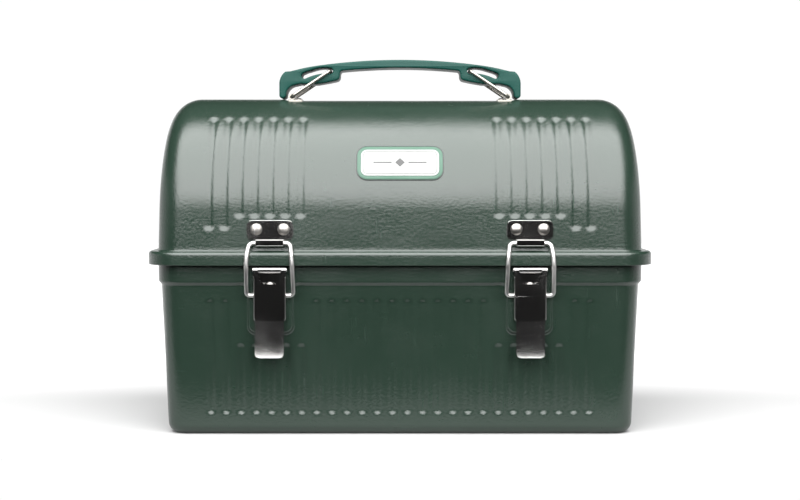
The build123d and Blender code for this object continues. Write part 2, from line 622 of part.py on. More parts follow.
with BuildPart() as handle_grip:
    with BuildSketch(Plane.XZ):
        with BuildLine():
            under_radius = GRIP_RADIUS - GRIP_THICK
            centre_z = GRIP_TOP - GRIP_RADIUS
            block_x, shoulder_x = GRIP_BLOCK_X, GRIP_SHOULDER_X
            ThreePointArc(
                (0, GRIP_TOP), (37.5, centre_z + (GRIP_RADIUS**2 - 37.5**2) ** 0.5),
                (shoulder_x, centre_z + (GRIP_RADIUS**2 - shoulder_x**2) ** 0.5),
            )
            shoulder = (shoulder_x, centre_z + (GRIP_RADIUS**2 - shoulder_x**2) ** 0.5)
            ThreePointArc(shoulder, (81.4, 243.0), (GRIP_END_X, 236.2))
            Line((GRIP_END_X, 236.2), (GRIP_END_X, GRIP_FOOT_Z))
            ThreePointArc((GRIP_END_X, GRIP_FOOT_Z), (82.1, 225.4), (79.8, GRIP_FOOT_Z))
            ThreePointArc((79.8, GRIP_FOOT_Z), (78.0, 232.2), (73.5, 234.6))
            Polyline((73.5, 234.6), (69.7, 235.5), (57.7, 235.4), (44.8, 237.8))
            ThreePointArc((44.8, 237.8), (42.8, 238.7), (42.1, 240.6))
            under_at_block = (block_x, centre_z + (under_radius**2 - block_x**2) ** 0.5)
            Line((42.1, 240.6), under_at_block)
            ThreePointArc(
                under_at_block, (block_x / 2, centre_z + (under_radius**2 - (block_x / 2) ** 2) ** 0.5),
                (0, GRIP_TOP - GRIP_THICK),
            )
            mirror(about=Plane.YZ)
        make_face()
        with BuildLine(mode=Mode.PRIVATE) as bar_path:
            ThreePointArc(bar_in_grip(0), bar_in_grip(0.5), bar_in_grip(1))
        bar_slot = SlotArc(bar_path.edges()[0], SLOT_HEIGHT, mode=Mode.SUBTRACT)
        mirror(bar_slot, about=Plane.YZ, mode=Mode.SUBTRACT)
    extrude(amount=GRIP_HALF_Y, both=True)
    fillet(handle_grip.edges().group_by(Axis.Z)[-1], 1.5)
handle_grip.part.label = "handle_grip"
export_step(handle_grip.part, "parts/handle_grip.step")

for side, sign in (("left", -1), ("right", 1)):
    # Link: a closed wire loop from the bracket to the slot in the grip.
    corner = 3.0
    link_plane = Plane(
        (sign * LINK_X, 0, LINK_Z), x_dir=(-sign * cos(link_rest), 0, sin(link_rest)),
        z_dir=(sin(link_rest), 0, sign * cos(link_rest)),
    )
    with BuildPart() as handle_link:
        with BuildLine(link_plane) as loop:
            FilletPolyline(
                (0, -LINK_HALF_Y), (link_length, -LINK_HALF_Y), (link_length, LINK_HALF_Y),
                (0, LINK_HALF_Y), radius=corner, close=True,
            )
        with BuildSketch(Plane(loop.line @ 0, z_dir=loop.line % 0)):
            Circle(LINK_WIRE / 2)
        sweep(path=loop.line)
    handle_link.part.label = f"handle_link_{side}"
    export_step(handle_link.part, f"parts/handle_link_{side}.step")

    # Bracket: a plate riveted into the recess and rolled round the link's lower bar.
    tube = LINK_WIRE / 2 + TUBE_WALL
    with BuildPart() as handle_bracket:
        with BuildSketch(Plane.YZ.offset(sign * (LINK_X - 2.2))):
            with Locations((0, DOME_Z)):
                Circle(BRACKET_FLOOR + BRACKET_SHEET)
                Circle(BRACKET_FLOOR, mode=Mode.SUBTRACT)
            with Locations((0, LID_TOP)):
                Rectangle(2 * BRACKET_HALF_Y, 8.0, mode=Mode.INTERSECT)
        extrude(amount=BRACKET_HALF_X, both=True)
        with BuildSketch(Plane.XZ):
            with Locations((sign * LINK_X, LINK_Z)):
                Circle(tube)
        extrude(amount=BRACKET_HALF_Y, both=True)
        add(lid_outside, mode=Mode.SUBTRACT)
        with BuildSketch(Plane.XZ):
            with Locations((sign * LINK_X, LINK_Z)):
                Circle(LINK_WIRE / 2 + LINK_FIT)
        extrude(amount=12, both=True, mode=Mode.SUBTRACT)
        add(lid_holes, mode=Mode.SUBTRACT)
    handle_bracket.part.label = f"handle_bracket_{side}"
    export_step(handle_bracket.part, f"parts/handle_bracket_{side}.step")
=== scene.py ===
"""A domed steel lunch box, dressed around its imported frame.

Sizes are in millimetres, as on a maker's drawing, and meshes are scaled to metres when they are made.
"""
import logging
import math
from dataclasses import dataclass, field
from enum import Enum
from typing import Sequence

import bmesh
import bpy
import numpy as np
from mathutils import Matrix, Vector


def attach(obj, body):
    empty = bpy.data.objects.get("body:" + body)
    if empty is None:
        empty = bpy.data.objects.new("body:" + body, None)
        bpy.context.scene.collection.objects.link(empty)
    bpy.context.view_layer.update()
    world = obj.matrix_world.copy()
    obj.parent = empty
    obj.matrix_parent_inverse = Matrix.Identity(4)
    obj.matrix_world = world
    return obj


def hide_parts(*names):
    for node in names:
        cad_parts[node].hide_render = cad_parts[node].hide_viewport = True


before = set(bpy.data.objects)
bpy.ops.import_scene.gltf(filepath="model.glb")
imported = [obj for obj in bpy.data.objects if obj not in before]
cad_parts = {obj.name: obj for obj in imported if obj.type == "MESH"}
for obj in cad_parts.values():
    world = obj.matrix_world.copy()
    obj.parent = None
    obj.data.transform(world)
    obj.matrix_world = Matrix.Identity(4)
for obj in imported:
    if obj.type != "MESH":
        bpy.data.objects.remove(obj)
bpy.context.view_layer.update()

LOG = logging.getLogger("lunch_box")
MM = 0.001
# A wire's domed end, as (distance past the end, share of the radius), both in radii.
WIRE_END = ((0.12, 0.88), (0.3, 0.6))
Array = np.ndarray
Point = tuple[float, float, float]


class Side(Enum):
    """The two ends of the box, as the sign of X."""

    LEFT = -1
    RIGHT = 1

    @property
    def word(self) -> str:
        """The side's name in lower case, as node names spell it."""
        return self.name.lower()


# ---------------------------------------------------------------- shape helpers


def smooth(edge_low: float, edge_high: float, value: Array) -> Array:
    """A smooth step from 0 at edge_low to 1 at edge_high.

    Args:
        edge_low: where the step starts.
        edge_high: where it ends.
        value: the values to map.

    Returns:
        The eased values, 0 to 1.
    """
    t = np.clip((value - edge_low) / (edge_high - edge_low), 0.0, 1.0)
    return t * t * (3 - 2 * t)


def slot_distance(u: Array, v: Array, at: float, low: float, high: float, radius: float) -> Array:
    """Distance outside an upright slot with round ends, negative inside it.

    Args:
        u: the coordinate across the slot.
        v: the coordinate along it.
        at: the slot's place across.
        low: its lower end.
        high: its upper end.
        radius: half its width.

    Returns:
        The signed distance at each point.
    """
    return np.hypot(u - at, v - np.clip(v, low + radius, high - radius)) - radius


def round_box_distance(u: Array, v: Array, half_u: float, half_v: float, corner: float) -> Array:
    """Signed distance outside a rectangle with rounded corners about the origin.

    Args:
        u: first coordinate.
        v: second coordinate.
        half_u: half the first size.
        half_v: half the second size.
        corner: the corners' radius.

    Returns:
        The signed distance at each point.
    """
    du, dv = np.abs(u) - half_u + corner, np.abs(v) - half_v + corner
    return np.hypot(np.maximum(du, 0), np.maximum(dv, 0)) + np.minimum(np.maximum(du, dv), 0) - corner


def steps(*stretches: tuple[float, float, float]) -> list[float]:
    """Evenly spaced values over joined stretches, without doubles.

    Args:
        stretches: (start, end, largest step) for each stretch.

    Returns:
        The values in order.
    """
    values: list[float] = []
    for start, end, step in stretches:
        count = max(1, math.ceil(abs(end - start) / step - 1e-6))
        values += [start + (end - start) * k / count for k in range(count + 1)]
    return [v for k, v in enumerate(values) if k == 0 or abs(v - values[k - 1]) > 1e-6]


def filleted(points: Sequence[Sequence[float]], radii: Sequence[float], closed: bool = False) -> list[Vector]:
    """A path through corner points, each rounded by an arc.

    Args:
        points: the corners.
        radii: one radius for each rounded corner.
        closed: whether the last point joins the first.

    Returns:
        Points along the path, arcs divided about every 12 degrees.
    """
    corners = [Vector(p) for p in points]
    count = len(corners)
    inner = range(count) if closed else range(1, count - 1)
    path = [] if closed else [corners[0]]
    for n, k in enumerate(inner):
        before, here, after = corners[k - 1], corners[k], corners[(k + 1) % count]
        a, b = (before - here).normalized(), (after - here).normalized()
        turn = math.pi - a.angle(b)
        reach = radii[n] * math.tan(turn / 2)
        start, centre_way = here + a * reach, (a + b).normalized()
        centre = here + centre_way * (radii[n] / math.cos(turn / 2))
        arm, axis = start - centre, a.cross(b).normalized()
        pieces = max(2, math.ceil(math.degrees(turn) / 12))
        path += [centre + Matrix.Rotation(-turn * i / pieces, 3, axis) @ arm for i in range(pieces + 1)]
    return path if closed else path + [corners[-1]]


@dataclass
class MeshMaker:
    """Gathers vertices and faces in millimetres and makes one object of them."""

    name: str
    points: list[Point] = field(default_factory=list)
    faces: list[tuple[int, ...]] = field(default_factory=list)

    def grid(self, rows: Array, wrap: bool = False, flip: bool = False) -> None:
        """Adds a sheet of quads.

        Args:
            rows: points as an array of rows, columns and X, Y, Z.
            wrap: whether the last column joins the first.
            flip: whether to turn the faces over.
        """
        first, (high, wide) = len(self.points), rows.shape[:2]
        self.points += [tuple(p) for p in rows.reshape(-1, 3)]
        for r in range(high - 1):
            here, above = first + r * wide, first + (r + 1) * wide
            for c in range(wide if wrap else wide - 1):
                d = (c + 1) % wide
                quad = (here + c, here + d, above + d, above + c)
                self.faces.append(quad[::-1] if flip else quad)

    def tube(self, path: Sequence[Vector], radius: float, closed: bool = False, sides: int = 14) -> None:
        """Adds a round wire along a path, its open ends domed.

        Args:
            path: the wire's centre line.
            radius: the wire's radius.
            closed: whether the last point joins the first.
            sides: points round the wire.
        """
        count = len(path)
        up = Vector((0.31, 0.23, 0.92))
        rings = []
        for k, p in enumerate(path):
            ahead = path[(k + 1) % count] if closed or k + 1 < count else p
            behind = path[k - 1] if closed or k else p
            along = (ahead - behind).normalized()
            up = (up - along * up.dot(along)).normalized()
            across = along.cross(up)
            rings.append((p, along, up.copy(), across))
        rings_full = [(*r, 1.0) for r in rings]
        if not closed:
            start, end = rings[0], rings[-1]
            for past, share in WIRE_END:
                rings_full.insert(0, (start[0] - start[1] * radius * past, *start[1:], share))
                rings_full.append((end[0] + end[1] * radius * past, *end[1:], share))
        angles = [2 * math.pi * k / sides for k in range(sides)]
        table = np.array([
            [tuple(p + (u * math.cos(a) + w * math.sin(a)) * radius * share) for a in angles]
            for p, _, u, w, share in rings_full
        ])
        if closed:
            table = np.concatenate([table, table[:1]])
        first = len(self.points)
        self.grid(table, wrap=True)
        if not closed:
            last = len(self.points) - sides
            self.faces.append(tuple(first + k for k in reversed(range(sides))))
            self.faces.append(tuple(last + k for k in range(sides)))

    def turned(self, origin: Vector, axis: Vector, profile: Sequence[tuple[float, float]],
               sides: int = 28) -> None:
        """Adds a solid of revolution.

        Args:
            origin: a point on its axis.
            axis: the axis's direction.
            profile: (radius, height) pairs from the top centre to the bottom centre.
            sides: points round it.
        """
        axis = axis.normalized()
        u = axis.orthogonal().normalized()
        w = axis.cross(u)
        angles = [2 * math.pi * k / sides for k in range(sides)]
        spokes = [u * math.cos(a) + w * math.sin(a) for a in angles]
        table = np.array([[tuple(origin + axis * h + spoke * r) for spoke in spokes] for r, h in profile])
        self.grid(table, wrap=True, flip=True)

    def build(self, material: bpy.types.Material, merge: float = 0.004,
              sharp: float = 35.0) -> bpy.types.Object:
        """Makes the object, with doubles merged and sharp edges kept.

        Args:
            material: its finish.
            merge: the distance within which points merge.
            sharp: the angle over which an edge stays sharp.

        Returns:
            The new object, at the origin.
        """
        mesh = bpy.data.meshes.new(self.name)
        mesh.from_pydata([(x * MM, y * MM, z * MM) for x, y, z in self.points], [], self.faces)
        shape = bmesh.new()
        shape.from_mesh(mesh)
        bmesh.ops.remove_doubles(shape, verts=shape.verts, dist=merge * MM)
        bmesh.ops.dissolve_degenerate(shape, dist=merge * MM * 0.5, edges=shape.edges)
        loose = [v for v in shape.verts if not v.link_faces]
        bmesh.ops.delete(shape, geom=loose, context="VERTS")
        bmesh.ops.recalc_face_normals(shape, faces=shape.faces)
        shape.to_mesh(mesh)
        shape.free()
        obj = bpy.data.objects.new(self.name, mesh)
        bpy.context.scene.collection.objects.link(obj)
        mesh.materials.append(material)
        soften(obj, sharp)
        return obj


def soften(obj: bpy.types.Object, sharp: float) -> None:
    """Shades an object smooth, with edges over the sharp angle left crisp.

    Args:
        obj: the mesh object.
        sharp: the angle in degrees.
    """
    obj.data.shade_smooth()
    obj.data.set_sharp_from_angle(angle=math.radians(sharp))


def thicken(obj: bpy.types.Object, sheet: float, even: bool = True) -> None:
    """Gives a sheet its thickness, grown against its normals.

    Args:
        obj: the open sheet.
        sheet: its thickness in millimetres.
        even: whether sharp bends keep the full thickness.
    """
    solid = obj.modifiers.new("sheet", "SOLIDIFY")
    solid.thickness, solid.offset, solid.use_even_offset = sheet * MM, -1.0, even


def ease_edges(obj: bpy.types.Object, width: float, segments: int = 2, angle: float = 35.0) -> None:
    """Rounds an object's edges a little.

    Args:
        obj: the mesh object.
        width: the rounding's width in millimetres.
        segments: how many facets it has.
        angle: edges sharper than this are rounded.
    """
    bevel = obj.modifiers.new("eased", "BEVEL")
    bevel.width, bevel.segments, bevel.limit_method = width * MM, segments, "ANGLE"
    bevel.angle_limit, bevel.harden_normals = math.radians(angle), True


def placed(obj: bpy.types.Object, body: str, slot: str, *nodes: str) -> bpy.types.Object:
    """Sets an object riding on a body in place of CAD nodes.

    Args:
        obj: the finished piece.
        body: the CAD body it moves with.
        slot: a material slot's name; not used.
        nodes: the CAD nodes that it stands for.

    Returns:
        The piece.
    """
    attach(obj, body)
    if nodes:
        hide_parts(*nodes)
    LOG.info("%s rides on %s, %d vertices", obj.name, body, len(obj.data.vertices))
    return obj


# ---------------------------------------------------------------- shader groups


def new_group(name: str, inputs: Sequence[tuple[str, str, float | tuple]], outputs: Sequence[tuple[str, str]]
              ) -> tuple[bpy.types.NodeTree, bpy.types.Node, bpy.types.Node]:
    """Starts a shader node group.

    Args:
        name: the group's name.
        inputs: (name, socket type, default) for each input.
        outputs: (name, socket type) for each output.

    Returns:
        The group, its input node and its output node.
    """
    tree = bpy.data.node_groups.new(name, "ShaderNodeTree")
    for label, kind, default in inputs:
        socket = tree.interface.new_socket(label, in_out="INPUT", socket_type=kind)
        socket.default_value = default
    for label, kind in outputs:
        tree.interface.new_socket(label, in_out="OUTPUT", socket_type=kind)
    return tree, tree.nodes.new("NodeGroupInput"), tree.nodes.new("NodeGroupOutput")


def wire(tree: bpy.types.NodeTree, source: bpy.types.NodeSocket, target: bpy.types.NodeSocket) -> None:
    """Links two sockets."""
    tree.links.new(source, target)


def maths(tree: bpy.types.NodeTree, operation: str, a: object, b: object = None, clamp: bool = False
          ) -> bpy.types.NodeSocket:
    """Adds a Math node.

    Args:
        tree: the node tree.
        operation: the node's operation.
        a: a socket or number.
        b: a second socket or number.
        clamp: whether the result is held to 0 to 1.

    Returns:
        The result's socket.
    """
    node = tree.nodes.new("ShaderNodeMath")
    node.operation, node.use_clamp = operation, clamp
    for slot, value in zip(node.inputs, (a, b)):
        if isinstance(value, bpy.types.NodeSocket):
            wire(tree, value, slot)
        elif value is not None:
            slot.default_value = value
    return node.outputs[0]


def noise(tree: bpy.types.NodeTree, scale: object, detail: float, roughness: float = 0.55,
          stretch: tuple[float, float, float] = (1, 1, 1)) -> bpy.types.NodeSocket:
    """Adds a noise texture in the object's own coordinates.

    Args:
        tree: the node tree.
        scale: its scale, a number or a socket.
        detail: its octaves.
        roughness: how strong the fine octaves are.
        stretch: a scale for each axis.

    Returns:
        The noise value's socket.
    """
    where = tree.nodes.new("ShaderNodeTexCoord")
    mapping = tree.nodes.new("ShaderNodeMapping")
    mapping.inputs["Scale"].default_value = stretch
    wire(tree, where.outputs["Object"], mapping.inputs["Vector"])
    texture = tree.nodes.new("ShaderNodeTexNoise")
    wire(tree, mapping.outputs[0], texture.inputs["Vector"])
    texture.inputs["Detail"].default_value = detail
    texture.inputs["Roughness"].default_value = roughness
    if isinstance(scale, bpy.types.NodeSocket):
        wire(tree, scale, texture.inputs["Scale"])
    else:
        texture.inputs["Scale"].default_value = scale
    return texture.outputs["Fac"]


def ramp(tree: bpy.types.NodeTree, value: bpy.types.NodeSocket, low: float,
         high: float) -> bpy.types.NodeSocket:
    """Maps a value to 0 at low and 1 at high, held between them.

    Args:
        tree: the node tree.
        value: the socket to map.
        low: the value that gives 0.
        high: the value that gives 1.

    Returns:
        The mapped value's socket.
    """
    node = tree.nodes.new("ShaderNodeMapRange")
    node.interpolation_type = "SMOOTHSTEP"
    node.inputs["From Min"].default_value, node.inputs["From Max"].default_value = low, high
    wire(tree, value, node.inputs["Value"])
    return node.outputs[0]


def orange_peel_group() -> bpy.types.NodeTree:
    """The gentle ripple of sprayed or moulded gloss, as a height.

    Returns:
        The effect's node group.
    """
    tree, given, out = new_group(
        "orange_peel",
        [("Cell", "NodeSocketFloat", 420.0), ("Fine", "NodeSocketFloat", 0.3)],
        [("Height", "NodeSocketFloat")],
    )
    broad = noise(tree, given.outputs["Cell"], 1.5, 0.45)
    small = noise(tree, 2400.0, 2.0)
    fine = maths(tree, "MULTIPLY", small, given.outputs["Fine"])
    wire(tree, maths(tree, "ADD", broad, fine), out.inputs["Height"])
    return tree


def edge_wear_group() -> bpy.types.NodeTree:
    """A mask of rubbed edges: sharp ridges of the form, broken up by noise.

    Returns:
        The effect's node group.
    """
    tree, given, out = new_group(
        "edge_wear",
        [("Start", "NodeSocketFloat", 0.56), ("Amount", "NodeSocketFloat", 1.0)],
        [("Mask", "NodeSocketFloat")],
    )
    form = tree.nodes.new("ShaderNodeNewGeometry")
    ridge = maths(tree, "SUBTRACT", form.outputs["Pointiness"], given.outputs["Start"])
    broken = ramp(tree, noise(tree, 160.0, 6.0, 0.7), 0.48, 0.68)
    mask = maths(tree, "MULTIPLY", maths(tree, "MULTIPLY", ridge, 16.0, clamp=True), broken)
    wire(tree, maths(tree, "MULTIPLY", mask, given.outputs["Amount"], clamp=True), out.inputs["Mask"])
    return tree


def handling_group() -> bpy.types.NodeTree:
    """Smudges and hairline scratches from use, each as a mask.

    Returns:
        The effect's node group.
    """
    tree, given, out = new_group(
        "handling",
        [("Scratch Density", "NodeSocketFloat", 0.5)],
        [("Smudge", "NodeSocketFloat"), ("Scratch", "NodeSocketFloat")],
    )
    wire(tree, ramp(tree, noise(tree, 26.0, 5.0, 0.6), 0.42, 0.66), out.inputs["Smudge"])
    total: bpy.types.NodeSocket | None = None
    for stretch, scale in (((1, 1, 0.03), 700.0), ((0.03, 1, 1), 560.0)):
        hair = ramp(tree, noise(tree, scale, 1.0, 0.4, stretch), 0.70, 0.76)
        total = hair if total is None else maths(tree, "MAXIMUM", total, hair)
    patch = ramp(tree, noise(tree, 45.0, 2.0), 0.5, 0.7)
    hairs = maths(tree, "MULTIPLY", total, patch)
    wire(tree, maths(tree, "MULTIPLY", hairs, given.outputs["Scratch Density"]), out.inputs["Scratch"])
    return tree


def dust_group() -> bpy.types.NodeTree:
    """Fine dust that settles on faces that look up, as a mask.

    Returns:
        The effect's node group.
    """
    tree, given, out = new_group(
        "settled_dust",
        [("Amount", "NodeSocketFloat", 0.1)],
        [("Mask", "NodeSocketFloat")],
    )
    form = tree.nodes.new("ShaderNodeNewGeometry")
    split = tree.nodes.new("ShaderNodeSeparateXYZ")
    wire(tree, form.outputs["Normal"], split.inputs[0])
    up = ramp(tree, split.outputs["Z"], 0.35, 1.0)
    grains = ramp(tree, noise(tree, 900.0, 3.0, 0.7), 0.45, 0.75)
    mask = maths(tree, "MULTIPLY", maths(tree, "MULTIPLY", up, grains), given.outputs["Amount"])
    wire(tree, mask, out.inputs["Mask"])
    return tree


@dataclass
class Workshop:
    """The shared effects, built once."""

    peel: bpy.types.NodeTree = field(default_factory=orange_peel_group)
    wear: bpy.types.NodeTree = field(default_factory=edge_wear_group)
    handling: bpy.types.NodeTree = field(default_factory=handling_group)
    dust: bpy.types.NodeTree = field(default_factory=dust_group)


@dataclass
class Coating:
    """A material being mixed: its tree, its shader and the running colour and roughness."""

    material: bpy.types.Material
    tree: bpy.types.NodeTree
    shader: bpy.types.Node

    @classmethod
    def start(cls, name: str, roughness: float, metallic: float, specular: float = 0.5) -> "Coating":
        """Starts a material.

        Args:
            name: its name.
            roughness: the shader's plain roughness.
            metallic: the shader's plain metallic value.
            specular: the shader's specular level.

        Returns:
            The new coating.
        """
        material = bpy.data.materials.new(name)
        material.use_nodes = True
        tree = material.node_tree
        shader = tree.nodes["Principled BSDF"]
        shader.inputs["Roughness"].default_value = roughness
        shader.inputs["Metallic"].default_value = metallic
        shader.inputs["Specular IOR Level"].default_value = specular
        return cls(material, tree, shader)

    def effect(self, group: bpy.types.NodeTree, **values: float) -> bpy.types.Node:
        """Places a shared effect.

        Args:
            group: the effect's node group.
            values: its inputs, with underscores for spaces.

        Returns:
            The group node.
        """
        node = self.tree.nodes.new("ShaderNodeGroup")
        node.node_tree = group
        for label, value in values.items():
            node.inputs[label.replace("_", " ")].default_value = value
        return node

    def mix(self, share: bpy.types.NodeSocket, under: object, over: object) -> bpy.types.NodeSocket:
        """Mixes two colours.

        Args:
            share: 0 for under, 1 for over.
            under: a colour or socket.
            over: a colour or socket.

        Returns:
            The mixed colour's socket.
        """
        node = self.tree.nodes.new("ShaderNodeMix")
        node.data_type = "RGBA"
        wire(self.tree, share, node.inputs["Factor"])
        for socket, value in ((node.inputs[6], under), (node.inputs[7], over)):
            if isinstance(value, bpy.types.NodeSocket):
                wire(self.tree, value, socket)
            else:
                socket.default_value = (*value, 1.0)
        return node.outputs[2]

    def blend(self, share: bpy.types.NodeSocket, under: object, over: object) -> bpy.types.NodeSocket:
        """Mixes two values, as mix does two colours.

        Args:
            share: 0 for under, 1 for over.
            under: a number or socket.
            over: a number or socket.

        Returns:
            The mixed value's socket.
        """
        node = self.tree.nodes.new("ShaderNodeMix")
        wire(self.tree, share, node.inputs["Factor"])
        for socket, value in ((node.inputs[2], under), (node.inputs[3], over)):
            if isinstance(value, bpy.types.NodeSocket):
                wire(self.tree, value, socket)
            else:
                socket.default_value = value
        return node.outputs[0]

    def bump(self, height: bpy.types.NodeSocket, distance: float) -> None:
        """Sets the surface's bump.

        Args:
            height: the height's socket, about 0 to 1.
            distance: the height of 1 in millimetres.
        """
        node = self.tree.nodes.new("ShaderNodeBump")
        node.inputs["Distance"].default_value = distance * MM
        node.inputs["Strength"].default_value = 1.0
        wire(self.tree, height, node.inputs["Height"])
        wire(self.tree, node.outputs[0], self.shader.inputs["Normal"])

    def feed(self, label: str, source: bpy.types.NodeSocket) -> None:
        """Links a source to one of the shader's inputs."""
        wire(self.tree, source, self.shader.inputs[label])


@dataclass(frozen=True)
class Enamel:
    """Baked green enamel over steel, glossy and slightly rippled."""

    name: str = "green_enamel"
    deep: tuple[float, float, float] = (0.0085, 0.0180, 0.0122)
    light: tuple[float, float, float] = (0.0115, 0.0225, 0.0158)
    steel: tuple[float, float, float] = (0.46, 0.45, 0.42)
    gloss: float = 0.215

    def mix(self, shop: Workshop) -> bpy.types.Material:
        """Makes the material.

        Args:
            shop: the shared effects.

        Returns:
            The finished material.
        """
        coat = Coating.start(self.name, self.gloss, 0.0, specular=0.55)
        tree = coat.tree
        handling = coat.effect(shop.handling, Scratch_Density=0.12)
        wear = coat.effect(shop.wear, Start=0.63, Amount=0.8)
        dust = coat.effect(shop.dust, Amount=0.03)
        peel = coat.effect(shop.peel, Cell=620.0, Fine=0.5)
        colour = coat.mix(noise(tree, 9.0, 4.0), self.deep, self.light)
        colour = coat.mix(dust.outputs["Mask"], colour, (0.30, 0.30, 0.28))
        colour = coat.mix(handling.outputs["Scratch"], colour, (0.05, 0.07, 0.06))
        colour = coat.mix(wear.outputs["Mask"], colour, self.steel)
        coat.feed("Base Color", colour)
        rough = coat.blend(handling.outputs["Smudge"], self.gloss, self.gloss + 0.05)
        rough = coat.blend(handling.outputs["Scratch"], rough, 0.42)
        coat.feed("Roughness", coat.blend(wear.outputs["Mask"], rough, 0.38))
        coat.feed("Metallic", wear.outputs["Mask"])
        coat.bump(peel.outputs["Height"], 0.12)
        return coat.material


@dataclass(frozen=True)
class PlatedSteel:
    """Bright plated steel, with fine rolling grain and light scratches."""

    name: str = "bright_steel"
    bright: tuple[float, float, float] = (0.56, 0.55, 0.54)
    dull: tuple[float, float, float] = (0.46, 0.45, 0.44)
    gloss: float = 0.085
    grain: tuple[float, float, float] = (1.0, 1.0, 0.06)

    def mix(self, shop: Workshop) -> bpy.types.Material:
        """Makes the material.

        Args:
            shop: the shared effects.

        Returns:
            The finished material.
        """
        coat = Coating.start(self.name, self.gloss, 1.0)
        tree = coat.tree
        handling = coat.effect(shop.handling, Scratch_Density=0.8)
        lines = noise(tree, 900.0, 3.0, 0.6, self.grain)
        colour = coat.mix(noise(tree, 60.0, 4.0), self.bright, self.dull)
        colour = coat.mix(handling.outputs["Scratch"], colour, (0.85, 0.84, 0.82))
        coat.feed("Base Color", colour)
        rough = coat.blend(lines, 0.8 * self.gloss, 1.3 * self.gloss)
        rough = coat.blend(handling.outputs["Smudge"], rough, 1.6 * self.gloss)
        coat.feed("Roughness", coat.blend(handling.outputs["Scratch"], rough, 0.28))
        cut_in = maths(tree, "MULTIPLY", handling.outputs["Scratch"], -1.0)
        coat.bump(maths(tree, "ADD", lines, cut_in), 0.004)
        return coat.material


@dataclass(frozen=True)
class GripPlastic:
    """Moulded teal-green plastic with a faint moulded grain."""

    name: str = "grip_plastic"
    base: tuple[float, float, float] = (0.002, 0.030, 0.023)
    pale: tuple[float, float, float] = (0.003, 0.038, 0.030)
    gloss: float = 0.42

    def mix(self, shop: Workshop) -> bpy.types.Material:
        """Makes the material.

        Args:
            shop: the shared effects.

        Returns:
            The finished material.
        """
        coat = Coating.start(self.name, self.gloss, 0.0, specular=0.17)
        tree = coat.tree
        handling = coat.effect(shop.handling, Scratch_Density=0.2)
        wear = coat.effect(shop.wear, Start=0.56, Amount=0.35)
        dust = coat.effect(shop.dust, Amount=0.03)
        peel = coat.effect(shop.peel, Cell=900.0, Fine=0.6)
        colour = coat.mix(noise(tree, 30.0, 3.0), self.base, self.pale)
        colour = coat.mix(dust.outputs["Mask"], colour, (0.30, 0.32, 0.30))
        colour = coat.mix(wear.outputs["Mask"], colour, (0.02, 0.08, 0.065))
        coat.feed("Base Color", colour)
        rough = coat.blend(handling.outputs["Smudge"], self.gloss, self.gloss + 0.12)
        coat.feed("Roughness", coat.blend(handling.outputs["Scratch"], rough, 0.6))
        coat.bump(peel.outputs["Height"], 0.02)
        return coat.material


@dataclass(frozen=True)
class PrintedEnamel:
    """The badge's hard glossy print, with light handling marks."""

    name: str
    base: tuple[float, float, float]
    gloss: float = 0.22

    def mix(self, shop: Workshop) -> bpy.types.Material:
        """Makes the material.

        Args:
            shop: the shared effects.

        Returns:
            The finished material.
        """
        coat = Coating.start(self.name, self.gloss, 0.0)
        tree = coat.tree
        handling = coat.effect(shop.handling, Scratch_Density=0.3)
        peel = coat.effect(shop.peel, Cell=800.0, Fine=0.3)
        shade = tuple(0.88 * c for c in self.base)
        colour = coat.mix(noise(tree, 80.0, 4.0), self.base, shade)
        scratched = tuple(0.6 * c for c in self.base)
        coat.feed("Base Color", coat.mix(handling.outputs["Scratch"], colour, scratched))
        coat.feed("Roughness", coat.blend(handling.outputs["Smudge"], self.gloss, self.gloss + 0.12))
        coat.bump(peel.outputs["Height"], 0.006)
        return coat.material


@dataclass
class Finishes:
    """Every finish on the box, mixed once."""

    shop: Workshop = field(default_factory=Workshop)

    def __post_init__(self) -> None:
        """Mixes the materials."""
        self.enamel = Enamel().mix(self.shop)
        self.bright = PlatedSteel().mix(self.shop)
        drawn = (0.3, 0.3, 0.3)
        self.wire = PlatedSteel(
            "wire_steel", bright=(0.60, 0.59, 0.58), dull=(0.48, 0.47, 0.46), gloss=0.30, grain=drawn
        ).mix(self.shop)
        self.rivet = PlatedSteel(
            "rivet_steel", bright=(0.30, 0.29, 0.27), dull=(0.22, 0.21, 0.20), gloss=0.30, grain=(1, 1, 1)
        ).mix(self.shop)
        self.link = PlatedSteel(
            "link_steel", bright=(0.34, 0.32, 0.29), dull=(0.22, 0.21, 0.19), gloss=0.22, grain=drawn
        ).mix(self.shop)
        self.grip = GripPlastic().mix(self.shop)
        self.badge_green = PrintedEnamel("badge_green", (0.020, 0.075, 0.045), 0.45).mix(self.shop)
        self.badge_cream = PrintedEnamel("badge_cream", (0.24, 0.25, 0.24), 0.35).mix(self.shop)
        self.badge_line = PrintedEnamel("badge_line", (0.03, 0.03, 0.03), 0.4).mix(self.shop)


# ---------------------------------------------------------------- the shells


